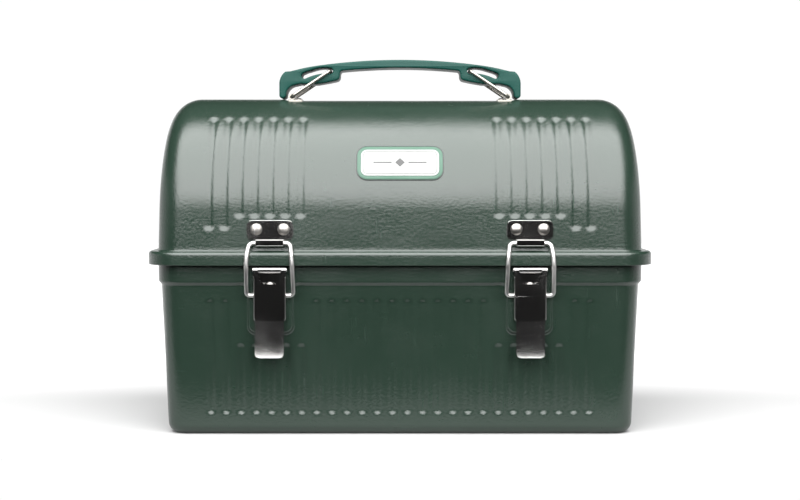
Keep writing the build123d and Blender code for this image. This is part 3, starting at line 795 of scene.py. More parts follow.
@dataclass
class Pressing:
    """Sizes that the body and the lid share."""

    wall_x: float = 161.0
    wall_y: float = 78.65
    corner: float = 19.0
    sheet: float = 0.8
    shelf: float = 121.8
    rib_pitch: float = 10.0
    rib_half: float = 2.3
    rib_depth: float = 1.15
    rib_flank: float = 1.8
    latch_x: float = 85.0
    corner_pieces: int = 10

    @property
    def core_x(self) -> float:
        """Half the flat length of the front."""
        return self.wall_x - self.corner

    @property
    def core_y(self) -> float:
        """Half the flat length of an end."""
        return self.wall_y - self.corner

    def columns(self, first_rib: int, last_rib: int, limit: float, gap: float) -> list[float]:
        """X of the mesh's columns over a face, close together over each rib.

        Args:
            first_rib: the number of the innermost rib that needs them.
            last_rib: the number of the outermost.
            limit: half the face's length.
            gap: the columns' spacing where there are no ribs.

        Returns:
            The columns' X, from left to right.
        """
        offsets = (-4.5, -3.7, -2.8, -1.9, -0.9, 0.0, 0.9, 1.9, 2.8, 3.7, 4.5, 5.0)
        ribs = [self.rib_pitch * (n + 0.5) + dx for n in range(first_rib, last_rib + 1) for dx in offsets]
        start = ribs[0] if first_rib else 0.0
        half = steps((0.0, start, gap)) if first_rib else [0.0]
        half += ribs + steps((ribs[-1], limit, gap))[1:]
        half = sorted({round(v, 4) for v in half if v <= limit + 1e-6})
        return [-v for v in reversed(half[1:])] + half

    def ribs(self, x: Array, z: Array, columns: Sequence[float], low: float, high: float) -> Array:
        """How deep the ribs press in at each point, 0 to the full depth.

        Args:
            x: the points' X.
            z: the points' height.
            columns: X of each rib, on the right half.
            low: the ribs' lower end.
            high: their upper end.

        Returns:
            The depth in millimetres.
        """
        depth = np.zeros_like(x)
        for at in columns:
            away = slot_distance(np.abs(x), z, at, low, high, self.rib_half)
            depth = np.maximum(depth, 1 - smooth(-self.rib_half, self.rib_flank, away))
        return depth * self.rib_depth

    def round_plan(self, face_x: Sequence[float], end_y: Sequence[float]) -> tuple[Array, Array]:
        """The closed plan path that every ring of a shell follows.

        Args:
            face_x: the columns over the front.
            end_y: the columns over an end, without its two ends.

        Returns:
            Points of the inner rectangle and the outward direction at each.
        """
        quarter = [math.radians(90 * k / self.corner_pieces) for k in range(1, self.corner_pieces)]
        cores, ways = [], []

        def stretch(points: Sequence[tuple[float, float]], way: tuple[float, float]) -> None:
            """Adds a straight run.

            Args:
                points: the run's points on the inner rectangle.
                way: the outward direction, the same for all of them.
            """
            cores.extend(points)
            ways.extend([way] * len(points))

        def turn(x: float, y: float, start: float) -> None:
            """Adds a rounded corner.

            Args:
                x: X of the corner's centre.
                y: Y of it.
                start: the angle at which the corner begins.
            """
            cores.extend([(x, y)] * len(quarter))
            ways.extend((math.cos(start + a), math.sin(start + a)) for a in quarter)

        ends = [-self.core_y, *end_y, self.core_y]
        stretch([(v, -self.core_y) for v in face_x], (0, -1))
        turn(self.core_x, -self.core_y, -math.pi / 2)
        stretch([(self.core_x, v) for v in ends], (1, 0))
        turn(self.core_x, self.core_y, 0)
        stretch([(v, self.core_y) for v in reversed(face_x)], (0, 1))
        turn(-self.core_x, self.core_y, math.pi / 2)
        stretch([(-self.core_x, v) for v in reversed(ends)], (-1, 0))
        turn(-self.core_x, -self.core_y, math.pi)
        return np.array(cores, float), np.array(ways, float)


@dataclass
class BodyShell:
    """The pressed tub: tapered walls with ribs, latch pads, a flush band and a wired rim."""

    press: Pressing
    step_low: float = 98.0
    step_high: float = 103.0
    step_in: float = 2.0
    draft: float = 2.33
    base_round: float = 7.0
    pad_half: float = 15.3
    pad_low: float = 68.0
    rib_low: float = 14.4
    rib_high: float = 89.7
    rib_under_latch: float = 60.3
    curl: float = 1.9
    curl_z: float = 118.0

    def tub_radius(self, z: Array) -> Array:
        """How far the tapered wall stands out from the inner rectangle at a height."""
        return self.press.corner - self.step_in - (self.step_low - z) * math.tan(math.radians(self.draft))

    def raised(self, x: Array, z: Array, flat: Array) -> Array:
        """Where the wall steps out to the flush band and the latch pads, 0 to 1.

        Args:
            x: the points' X.
            z: their height.
            flat: 1 on the front and back faces, 0 elsewhere.

        Returns:
            The share of the step.
        """
        half_flank = 1.5
        band = (self.step_low + self.step_high) / 2 - z
        pad_mid = (self.pad_low + self.step_high + 12) / 2
        pad = round_box_distance(
            np.abs(x) - self.press.latch_x, z - pad_mid, self.pad_half - 0.7, pad_mid - self.pad_low, 5.0
        )
        pad = np.where(flat > 0.5, pad, 1e3)
        blend_k = 7.0
        h = np.clip(0.5 + 0.5 * (pad - band) / blend_k, 0, 1)
        union = pad * (1 - h) + band * h - blend_k * h * (1 - h) * 0.6
        return 1 - smooth(-half_flank, half_flank, union)

    def make(self, finish: Finishes) -> bpy.types.Object:
        """Builds the tub.

        Args:
            finish: the box's finishes.

        Returns:
            The finished piece.
        """
        press = self.press
        face_x = press.columns(0, 12, press.core_x, 4.0)
        core, way = press.round_plan(face_x, steps((-50.0, 50.0, 10.0)))
        heights = steps(
            (self.base_round, 12.0, 1.7), (12.0, 18.0, 0.5), (18.0, 57.0, 6.5), (57.0, 62.5, 0.5),
            (62.5, 66.0, 1.2), (66.0, 74.0, 0.6), (74.0, 86.0, 3.0), (86.0, 92.0, 0.5), (92.0, 97.0, 1.0),
            (97.0, 104.5, 0.5), (104.5, 115.5, 3.6),
        )
        flat = (np.abs(way[:, 1]) > 0.999).astype(float)
        full = [press.rib_pitch * (n + 0.5) for n in range(13)]
        short = [v for v in full if abs(v - press.latch_x) <= 2 * press.rib_pitch]
        longs = [v for v in full if v not in short]
        rings = []
        base_reach = float(self.tub_radius(np.array(self.base_round)))
        for share in (0.0, 0.25, 0.5, 0.75, 0.9):
            inner = np.stack([np.clip(core[:, 0], -press.core_x + press.core_y, press.core_x - press.core_y),
                              np.zeros(len(core))], 1)
            outer = core + way * (base_reach - self.base_round)
            rings.append(np.concatenate([inner + (outer - inner) * share, np.full((len(core), 1), 0.0)], 1))
        for k in range(8):
            angle = math.radians(90 * k / 8)
            reach = base_reach - self.base_round * (1 - math.sin(angle))
            z = self.base_round * (1 - math.cos(angle))
            rings.append(np.concatenate([core + way * reach, np.full((len(core), 1), z)], 1))
        for z in heights:
            level = np.full(len(core), z)
            tub = self.tub_radius(level)
            reach = tub + (press.corner - tub) * self.raised(core[:, 0], level, flat)
            reach -= flat * np.maximum(
                press.ribs(core[:, 0], level, longs, self.rib_low, self.rib_high),
                press.ribs(core[:, 0], level, short, self.rib_low, self.rib_under_latch),
            )
            rings.append(np.concatenate([core + way * reach[:, None], level[:, None]], 1))
        for k in range(15):
            angle = math.radians(20 * k)
            reach = press.corner + self.curl * (1 - math.cos(angle))
            z = self.curl_z + self.curl * math.sin(angle)
            rings.append(np.concatenate([core + way * reach, np.full((len(core), 1), z)], 1))
        maker = MeshMaker("body_pressing")
        maker.grid(np.array(rings), wrap=True)
        obj = maker.build(finish.enamel, sharp=60)
        point_outward(obj, Vector((0, 0, -1)))
        thicken(obj, press.sheet, even=False)
        return placed(obj, "body", "enamel", "body_shell")


def point_outward(obj: bpy.types.Object, way: Vector) -> None:
    """Turns a shell's faces over if the one farthest along a direction looks inward.

    Args:
        obj: the open shell.
        way: a direction in which the shell's outside is plain.
    """
    farthest = max(obj.data.polygons, key=lambda face: face.center.dot(way))
    if farthest.normal.dot(way) < 0:
        obj.data.flip_normals()


@dataclass
class LidShell:
    """The domed lid, with ribs, the handle's recess and a skirt that steps out over the rim."""

    press: Pressing
    top: float = 225.0
    draft: float = 1.5
    end_draft: float = 1.6
    rib_low: float = 136.6
    rib_mid: float = 144.7
    rib_high: float = 210.0
    recess_half_x: float = 81.0
    recess_half_y: float = 29.0
    recess_depth: float = 0.9
    skirt_out: float = 6.35
    skirt_low: float = 113.0
    skirt_round: float = 2.2
    foot_round: float = 1.0

    def __post_init__(self) -> None:
        """Works out the dome from the walls that it continues."""
        slope = math.tan(math.radians(self.draft))
        rise = self.top - self.press.shelf
        self.radius = (self.press.wall_y - rise * slope) / (1 / math.cos(math.radians(self.draft)) - slope)
        self.centre_z = self.top - self.radius
        self.slope = slope

    def wall(self, z: Array) -> Array:
        """Half the lid's depth on its drafted wall at a height."""
        return self.press.wall_y - (z - self.press.shelf) * self.slope

    def end(self, z: Array) -> Array:
        """Half the lid's length at a height."""
        return self.press.wall_x - (z - self.press.shelf) * math.tan(math.radians(self.end_draft))

    def section(self) -> tuple[Array, Array, Array]:
        """The lid's section from the front foot over the dome to the rear foot.

        Returns:
            Y, Z and the outward direction (as an angle from -Y) of each point.
        """
        joint = self.centre_z + self.radius * math.sin(math.radians(self.draft))
        foot = self.press.shelf + self.foot_round
        walls = steps(
            (foot, 133.5, 2.5), (133.5, 139.5, 0.5), (139.5, 141.5, 1.0),
            (141.5, 147.5, 0.5), (147.5, joint, 1.0),
        )
        rib_end = math.degrees(math.asin((self.rib_high - self.centre_z) / self.radius))
        recess_edge = math.degrees(math.acos(self.recess_half_y / self.radius))
        angles = steps(
            (self.draft, rib_end - 3.5, 2.3), (rib_end - 3.5, rib_end + 1.5, 0.4),
            (rib_end + 1.5, recess_edge - 2.5, 2.0), (recess_edge - 2.5, recess_edge + 2.5, 0.5),
            (recess_edge + 2.5, 90.0, 1.2),
        )[1:]
        y = [-float(self.wall(np.array(z))) for z in walls]
        y += [-self.radius * math.cos(math.radians(a)) for a in angles]
        z = walls + [self.centre_z + self.radius * math.sin(math.radians(a)) for a in angles]
        turn = [self.draft] * len(walls) + angles
        y += [-v for v in reversed(y[:-1])]
        z += list(reversed(z[:-1]))
        turn += [180 - a for a in reversed(turn[:-1])]
        return np.array(y), np.array(z), np.radians(np.array(turn))

    def pressed_in(self, x: Array, y: Array, z: Array) -> Array:
        """How deep the ribs and the recess press in.

        Args:
            x: the points' X.
            y: their Y.
            z: their height.

        Returns:
            The depth at each point in millimetres.
        """
        press = self.press
        outer = [press.rib_pitch * (n + 0.5) for n in range(6, 13)]
        inner = [v for v in outer if abs(v - press.latch_x) <= 2 * press.rib_pitch]
        ends = [v for v in outer if v not in inner]
        ribs = np.maximum(
            press.ribs(x, z, inner, self.rib_mid, self.rib_high),
            press.ribs(x, z, ends, self.rib_low, self.rib_high),
        )
        stadium = slot_distance(y, x, 0.0, -self.recess_half_x, self.recess_half_x, self.recess_half_y)
        recess = (1 - smooth(-0.9, 0.9, stadium)) * self.recess_depth * (z > self.centre_z)
        return np.maximum(ribs, recess)

    def make(self, finish: Finishes) -> bpy.types.Object:
        """Builds the lid.

        Args:
            finish: the box's finishes.

        Returns:
            The finished piece.
        """
        press = self.press
        y, z, turn = self.section()
        radius = self.radius
        joint = self.centre_z + self.radius * math.sin(math.radians(self.draft))

        def inset(amount: float) -> tuple[Array, Array]:
            """The section with every wall moved in.

            Args:
                amount: how far the walls move.

            Returns:
                Its Y and Z.
            """
            ny = np.where(z <= joint, np.sign(y) * (np.abs(y) - amount), y * (radius - amount) / radius)
            nz = np.where(z <= joint, z, self.centre_z + (z - self.centre_z) * (radius - amount) / radius)
            return ny, nz

        straight = [v for v in press.columns(6, 12, press.core_x, 3.0) if abs(v) < 137.5]
        fine = steps((50.0, 61.0, 1.2))
        straight = sorted(set(straight) | set(fine) | {-v for v in fine})
        body_columns = []
        for at in straight:
            x = np.full_like(y, at)
            deep = self.pressed_in(x, y, z)
            body_columns.append(np.stack([x, y + np.cos(turn) * deep, z - np.sin(turn) * deep], 1))

        def end_columns(sign: int) -> list[Array]:
            """The columns round the corner and over one plain end.

            Args:
                sign: -1 for the left end, 1 for the right.

            Returns:
                The columns, from the front face to the end's middle.
            """
            made = []
            for k in range(press.corner_pieces + 1):
                angle = math.radians(90 * k / press.corner_pieces)
                ny, nz = inset(press.corner * (1 - math.cos(angle)))
                x = self.end(nz) - press.corner * (1 - math.sin(angle))
                made.append(np.stack([sign * x, ny, nz], 1))
            for share in (0.15, 0.35, 0.6, 0.82, 1.0):
                ny, nz = inset(press.corner + (self.radius - press.corner) * share)
                ny = np.where(z > joint, ny, y * (1 - press.corner / press.wall_y) * (1 - share))
                made.append(np.stack([sign * self.end(nz), ny, nz], 1))
            return made

        columns = list(reversed(end_columns(-1))) + body_columns + end_columns(1)
        maker = MeshMaker("lid_pressing")
        maker.grid(np.stack(columns, 1))
        obj = maker.build(finish.enamel, sharp=60)
        self.add_skirt(obj)
        soften(obj, 60)
        point_outward(obj, Vector((0, 0, 1)))
        thicken(obj, press.sheet, even=False)
        return placed(obj, "lid", "enamel", "lid_shell")

    def skirt_profile(self) -> list[tuple[float, float]]:
        """The skirt's section below the dome's foot.

        Returns:
            The distance out from the wall and the height of each point.
        """
        shelf, out, edge, foot = self.press.shelf, self.skirt_out, self.skirt_round, self.foot_round
        profile = []
        for k in range(1, 7):
            angle = math.radians(90 * k / 6)
            profile.append((foot * (1 - math.cos(angle)), shelf + foot * (1 - math.sin(angle))))
        for k in range(0, 9):
            angle = math.radians(90 * k / 8)
            profile.append((out - edge + edge * math.sin(angle), shelf - edge * (1 - math.cos(angle))))
        profile += [(out, shelf - edge - 2.5), (out, self.skirt_low + 0.5), (out, self.skirt_low)]
        return profile

    def add_skirt(self, obj: bpy.types.Object) -> None:
        """Grows the skirt from the lid's open foot, ring by ring.

        Args:
            obj: the lid's dome, open at its foot.
        """
        press = self.press
        shape = bmesh.new()
        shape.from_mesh(obj.data)
        edges = [e for e in shape.edges if e.is_boundary]
        for out, z in self.skirt_profile():
            grown = bmesh.ops.extrude_edge_only(shape, edges=edges)["geom"]
            edges = [g for g in grown if isinstance(g, bmesh.types.BMEdge)]
            for vert in {v for e in edges for v in e.verts}:
                x, y = vert.co.x / MM, vert.co.y / MM
                core_x = max(-press.core_x, min(press.core_x, x))
                core_y = max(-press.core_y, min(press.core_y, y))
                way = Vector((x - core_x, y - core_y)).normalized()
                reach = press.corner + out
                vert.co = Vector((core_x + way.x * reach, core_y + way.y * reach, z)) * MM
        bmesh.ops.recalc_face_normals(shape, faces=shape.faces)
        shape.to_mesh(obj.data)
        shape.free()


# ---------------------------------------------------------------- latches and hinges


@dataclass
class Latch:
    """One draw latch: lever and bail on the body, strike plate with its hook on the lid."""

    press: Pressing
    lid: LidShell
    side: Side
    pivot_out: float = 2.9
    pivot_z: float = 110.1
    knuckle: float = 2.5
    lever_sheet: float = 1.2
    lever_half: float = 10.8
    tongue_half: float = 9.25
    waist_z: float = 76.9
    tip_z: float = 53.1
    tip_out: float = 9.6
    waist_out: float = 6.6
    lever_top: float = 106.2
    notch_low: float = 100.9
    bail_out: float = 2.7
    bail_z: float = 93.3
    bail_wire: float = 1.45
    hook_out: float = 2.65
    hook_z: float = 127.45
    strike_low: float = 129.7
    strike_top: float = 142.3
    strike_half: float = 15.15
    fixing_x: float = 8.9
    bend: float = 1.9
    cheek_top: float = 104.6
    cheek_low: float = 78.4
    tip_corner: float = 2.8
    notch_mouth: float = 6.15
    notch_curve: float = 1.4
    ear_inner: float = 7.5

    @property
    def x(self) -> float:
        """The latch's middle."""
        return self.side.value * self.press.latch_x

    def front(self, out: float) -> float:
        """Y of a point that stands out from the front wall."""
        return -self.press.wall_y - out

    def web_out(self, z: float) -> float:
        """How far the lever's face stands out, flaring towards its tip.

        Args:
            z: the height on the lever.

        Returns:
            The distance out from the front wall.
        """
        if z >= self.waist_z:
            share = (self.pivot_z - z) / (self.pivot_z - self.waist_z)
            return self.pivot_out + self.knuckle + (self.waist_out - self.pivot_out - self.knuckle) * share
        share = (self.waist_z - z) / (self.waist_z - self.tip_z)
        return self.waist_out + 2.3 * share + (self.tip_out - self.waist_out - 2.3) * share**3

    def half_width(self, z: float) -> float:
        """Half the lever's width, waisted above its tongue and rounded at its tip.

        Args:
            z: the height on the lever.

        Returns:
            Half the width.
        """
        width = self.tongue_half
        if z > self.waist_z:
            widened = float(smooth(self.waist_z, self.waist_z + 1.2, np.array(z)))
            width += (self.lever_half - self.tongue_half) * widened
        low = self.tip_z + self.tip_corner - z
        if low > 0:
            width -= self.tip_corner - math.sqrt(max(self.tip_corner**2 - low**2, 0.0))
        return width

    def cheek_depth(self, z: float) -> float:
        """How far a cheek runs back from the lever's bend.

        Args:
            z: the height on the lever.

        Returns:
            The depth, 0 where there is no cheek.
        """
        top = 1.0
        if z > self.cheek_top - 1.6:
            top = float(smooth(self.cheek_top + 1.4, self.cheek_top - 1.6, np.array(z)))
        low = float(smooth(self.cheek_low - 1.4, self.cheek_low + 1.8, np.array(z)))
        return (self.web_out(z) - 0.5 - self.bend) * top * low

    def cheek_line(self, z: float, sign: int) -> list[Point]:
        """The bend and the cheek at the web's edge.

        Args:
            z: the height on the lever.
            sign: -1 for the left cheek, 1 for the right.

        Returns:
            The points from the web backward.
        """
        half, depth, face = self.half_width(z), self.cheek_depth(z), self.front(self.web_out(z))
        turned = self.bend * min(1.0, depth / 0.6)
        angles = [math.radians(v) for v in (0, 22, 45, 67, 90)]
        line = [(self.x + sign * (half - turned + turned * math.sin(a)), face + turned * (1 - math.cos(a)), z)
                for a in angles]
        line += [(self.x + sign * half, face + turned + depth * share, z) for share in (0.25, 0.5, 0.75, 1.0)]
        return line

    def notch_half(self, z: float) -> float:
        """Half the width of the S-curved notch in the lever's top.

        Args:
            z: the height on the lever.

        Returns:
            Half the width, which stays the same below the notch.
        """
        narrow = self.notch_mouth - self.notch_curve
        if z <= self.notch_low:
            return narrow
        share = (z - self.notch_low) / (self.lever_top - self.notch_low)
        curve = math.sin(min(1.0, share * 2.2) * math.pi / 2)
        return narrow + self.notch_curve * curve + 1.35 * max(0.0, share - 0.35) ** 1.5

    def ear(self, sign: int, shares: Sequence[float]) -> list[list[Point]]:
        """The ear rolled round the pin above one cheek, down to the web.

        Args:
            sign: -1 for the left ear, 1 for the right.
            shares: where the points before its edge lie, 0 to 1.

        Returns:
            Its rows, with as many points as a row of the web and cheek.
        """
        angles = [math.radians(v) for v in range(280, 0, -20)]
        section = [(self.pivot_out + self.knuckle * math.cos(a), self.pivot_z + self.knuckle * math.sin(a))
                   for a in angles]
        section += [(self.web_out(z), z) for z in (self.pivot_z, 108.8, 107.4)]
        spare = len(self.cheek_line(self.pivot_z, sign))
        width = self.lever_half - self.ear_inner
        rows = []
        for out, z in section:
            y = self.front(out)
            line = [(self.x + sign * (self.ear_inner + width * share), y, z) for share in shares]
            rows.append(line + [(self.x + sign * self.lever_half, y, z)] * spare)
        return rows

    def make_lever(self, finish: Finishes) -> bpy.types.Object:
        """Builds the lever from one folded sheet: web, cheeks, rolled ears and tongue.

        Args:
            finish: the box's finishes.

        Returns:
            The finished piece.
        """
        rows = steps(
            (self.lever_top, self.notch_low, 0.9), (self.notch_low, 79.5, 3.0), (79.5, 75.5, 0.5),
            (75.5, 57.0, 2.2), (57.0, self.tip_z, 0.33),
        )
        shares = (0.0, 0.33, 0.66)
        maker = MeshMaker(f"lever_{self.side.word}")
        for sign in (-1, 1):
            table = self.ear(sign, shares)
            for z in rows:
                face, edge = self.front(self.web_out(z)), self.cheek_line(z, sign)
                start, end = self.x + sign * self.notch_half(z), edge[0][0]
                table.append([(start + (end - start) * share, face, z) for share in shares] + edge)
            maker.grid(np.array(table, float), flip=sign > 0)
        spread = (-1.0, -0.5, 0.0, 0.5, 1.0)
        centre = [
            [(self.x + self.notch_half(z) * s, self.front(self.web_out(z)), z) for s in spread]
            for z in rows if z <= self.notch_low + 1e-6
        ]
        maker.grid(np.array(centre, float))
        obj = maker.build(finish.bright, sharp=50)
        front_first(obj)
        thicken(obj, self.lever_sheet)
        ease_edges(obj, 0.28, 2, 50)
        return placed(obj, f"lever_{self.side.word}", "bright_steel", f"latch_lever_{self.side.word}")

    def make_bail(self, finish: Finishes) -> bpy.types.Object:
        """Bends the bail's wire round the skirt and into the lever's cheeks.

        Args:
            finish: the box's finishes.

        Returns:
            The finished piece.
        """
        skirt = self.lid.skirt_out + 1.95
        half_route = [
            (self.lever_half - self.lever_sheet - 0.8, self.bail_out, self.bail_z),
            (self.lever_half + 4.6, self.bail_out, self.bail_z),
            (self.lever_half + 4.1, skirt, self.lid.skirt_low + 1),
            (self.lever_half + 3.7, skirt, self.press.shelf - 1.8),
            (self.lever_half + 2.55, self.hook_out, self.hook_z),
        ]
        route = [(self.x - dx, self.front(out), z) for dx, out, z in half_route]
        route += [(self.x + dx, self.front(out), z) for dx, out, z in reversed(half_route)]
        maker = MeshMaker(f"bail_{self.side.word}")
        maker.tube(filleted(route, [2.5, 8.0, 4.0, 3.5, 3.5, 4.0, 8.0, 2.5]), self.bail_wire)
        obj = maker.build(finish.wire, sharp=60)
        return placed(obj, f"bail_{self.side.word}", "wire_steel", f"latch_bail_{self.side.word}")

    def make_strike(self, finish: Finishes) -> bpy.types.Object:
        """Builds the strike plate and the hook folded from its lower edge.

        Args:
            finish: the box's finishes.

        Returns:
            The finished piece.
        """
        middle, half_z = (self.strike_low + self.strike_top) / 2, (self.strike_top - self.strike_low) / 2
        maker = MeshMaker(f"strike_{self.side.word}")
        loops = []
        for shrink, rise in ((0.0, 0.0), (0.0, 0.88), (0.12, 1.0), (1.5, 1.0), (5.5, 1.0)):
            loops.append([
                (self.x + u, -float(self.lid.wall(np.array(middle + v))) - rise, middle + v)
                for u, v in rounded_loop(self.strike_half - shrink, half_z - shrink, max(0.4, 3.5 - shrink))
            ])
        fix = self.fixing_x
        loops.append([(self.x + np.clip(p[0] - self.x, -fix, fix), p[1], middle) for p in loops[-1]])
        maker.grid(np.array(loops, float), wrap=True)
        obj = maker.build(finish.bright, sharp=30)
        tab_half, radius, hook_sheet = 9.1, 2.65, 1.0
        path = [(self.hook_out - radius + 0.02, self.strike_low - 0.05)]
        angles = [math.radians(a) for a in range(0, 181, 15)]
        path += [(self.hook_out - radius * math.cos(a), self.hook_z - radius * math.sin(a)) for a in angles]
        path += [(self.hook_out + radius, 128.6), (self.hook_out + radius, 129.8)]
        across = steps((-tab_half, tab_half, 3.1))
        hook = MeshMaker(f"hook_{self.side.word}")
        hook.grid(np.array([[(self.x + u, self.front(out), z) for u in across] for out, z in path], float))
        tab = hook.build(finish.bright, sharp=50)
        front_first(tab)
        thicken(tab, hook_sheet)
        ease_edges(tab, 0.25, 2, 50)
        placed(tab, "lid", "bright_steel")
        return placed(obj, "lid", "bright_steel", f"strike_plate_{self.side.word}")


def front_first(obj: bpy.types.Object) -> None:
    """Turns a sheet's faces over if its foremost face looks backward.

    Args:
        obj: the sheet.
    """
    foremost = min(obj.data.polygons, key=lambda face: face.center.y)
    if foremost.normal.y > 0:
        obj.data.flip_normals()


def rounded_loop(half_u: float, half_v: float, corner: float, pieces: int = 6) -> list[tuple[float, float]]:
    """A closed rectangle with rounded corners, as (u, v) points with midpoints on its sides.

    Args:
        half_u: half its width.
        half_v: half its height.
        corner: its corners' radius.
        pieces: facets to each corner.

    Returns:
        The points in order.
    """
    centres = ((1, 1, 0), (-1, 1, 90), (-1, -1, 180), (1, -1, 270))
    loop = []
    for su, sv, start in centres:
        cu, cv = su * (half_u - corner), sv * (half_v - corner)
        for k in range(pieces + 1):
            angle = math.radians(start + 90 * k / pieces)
            loop.append((cu + corner * math.cos(angle), cv + corner * math.sin(angle)))
        side = (0.75, 0.5, 0.25, 0.0, -0.25, -0.5, -0.75)
        if start in (0, 180):
            loop += [(su * (half_u - corner) * s, sv * half_v) for s in side]
        else:
            loop += [(su * half_u, sv * (half_v - corner) * s) for s in side]
    return loop


@dataclass
class Rivets:
    """A set of domed rivets, one mesh for each kind."""

    node: str
    body: str
    seats: Sequence[tuple[Point, Point]]
    head: float
    grip: float
    shank: float = 1.6

    def make(self, finish: Finishes) -> bpy.types.Object:
        """Turns the rivets, with domed heads outside and closed tails inside.

        Args:
            finish: the box's finishes.

        Returns:
            The finished piece.
        """
        rise, radius = 0.22 * self.head, self.head / 2
        angles = [math.radians(a) for a in (2, 15, 30, 45, 60, 72, 82)]
        dome = [(radius * math.sin(a), rise * math.cos(a)) for a in angles]
        profile = [(0.0, rise), *dome, (radius, 0.12), (radius, 0.0)]
        profile += [(self.shank, 0.0), (self.shank, -self.grip)]
        tail = 2 * self.shank
        profile += [(0.75 * tail, -self.grip), (0.75 * tail, -self.grip - 0.5),
                    (0.62 * tail, -self.grip - 0.8), (0.0, -self.grip - 0.8)]
        maker = MeshMaker(f"{self.node}_set")
        for at, way in self.seats:
            maker.turned(Vector(at), Vector(way), profile)
        return placed(maker.build(finish.rivet), self.body, "rivet_steel", self.node)


# ---------------------------------------------------------------- handle and badge


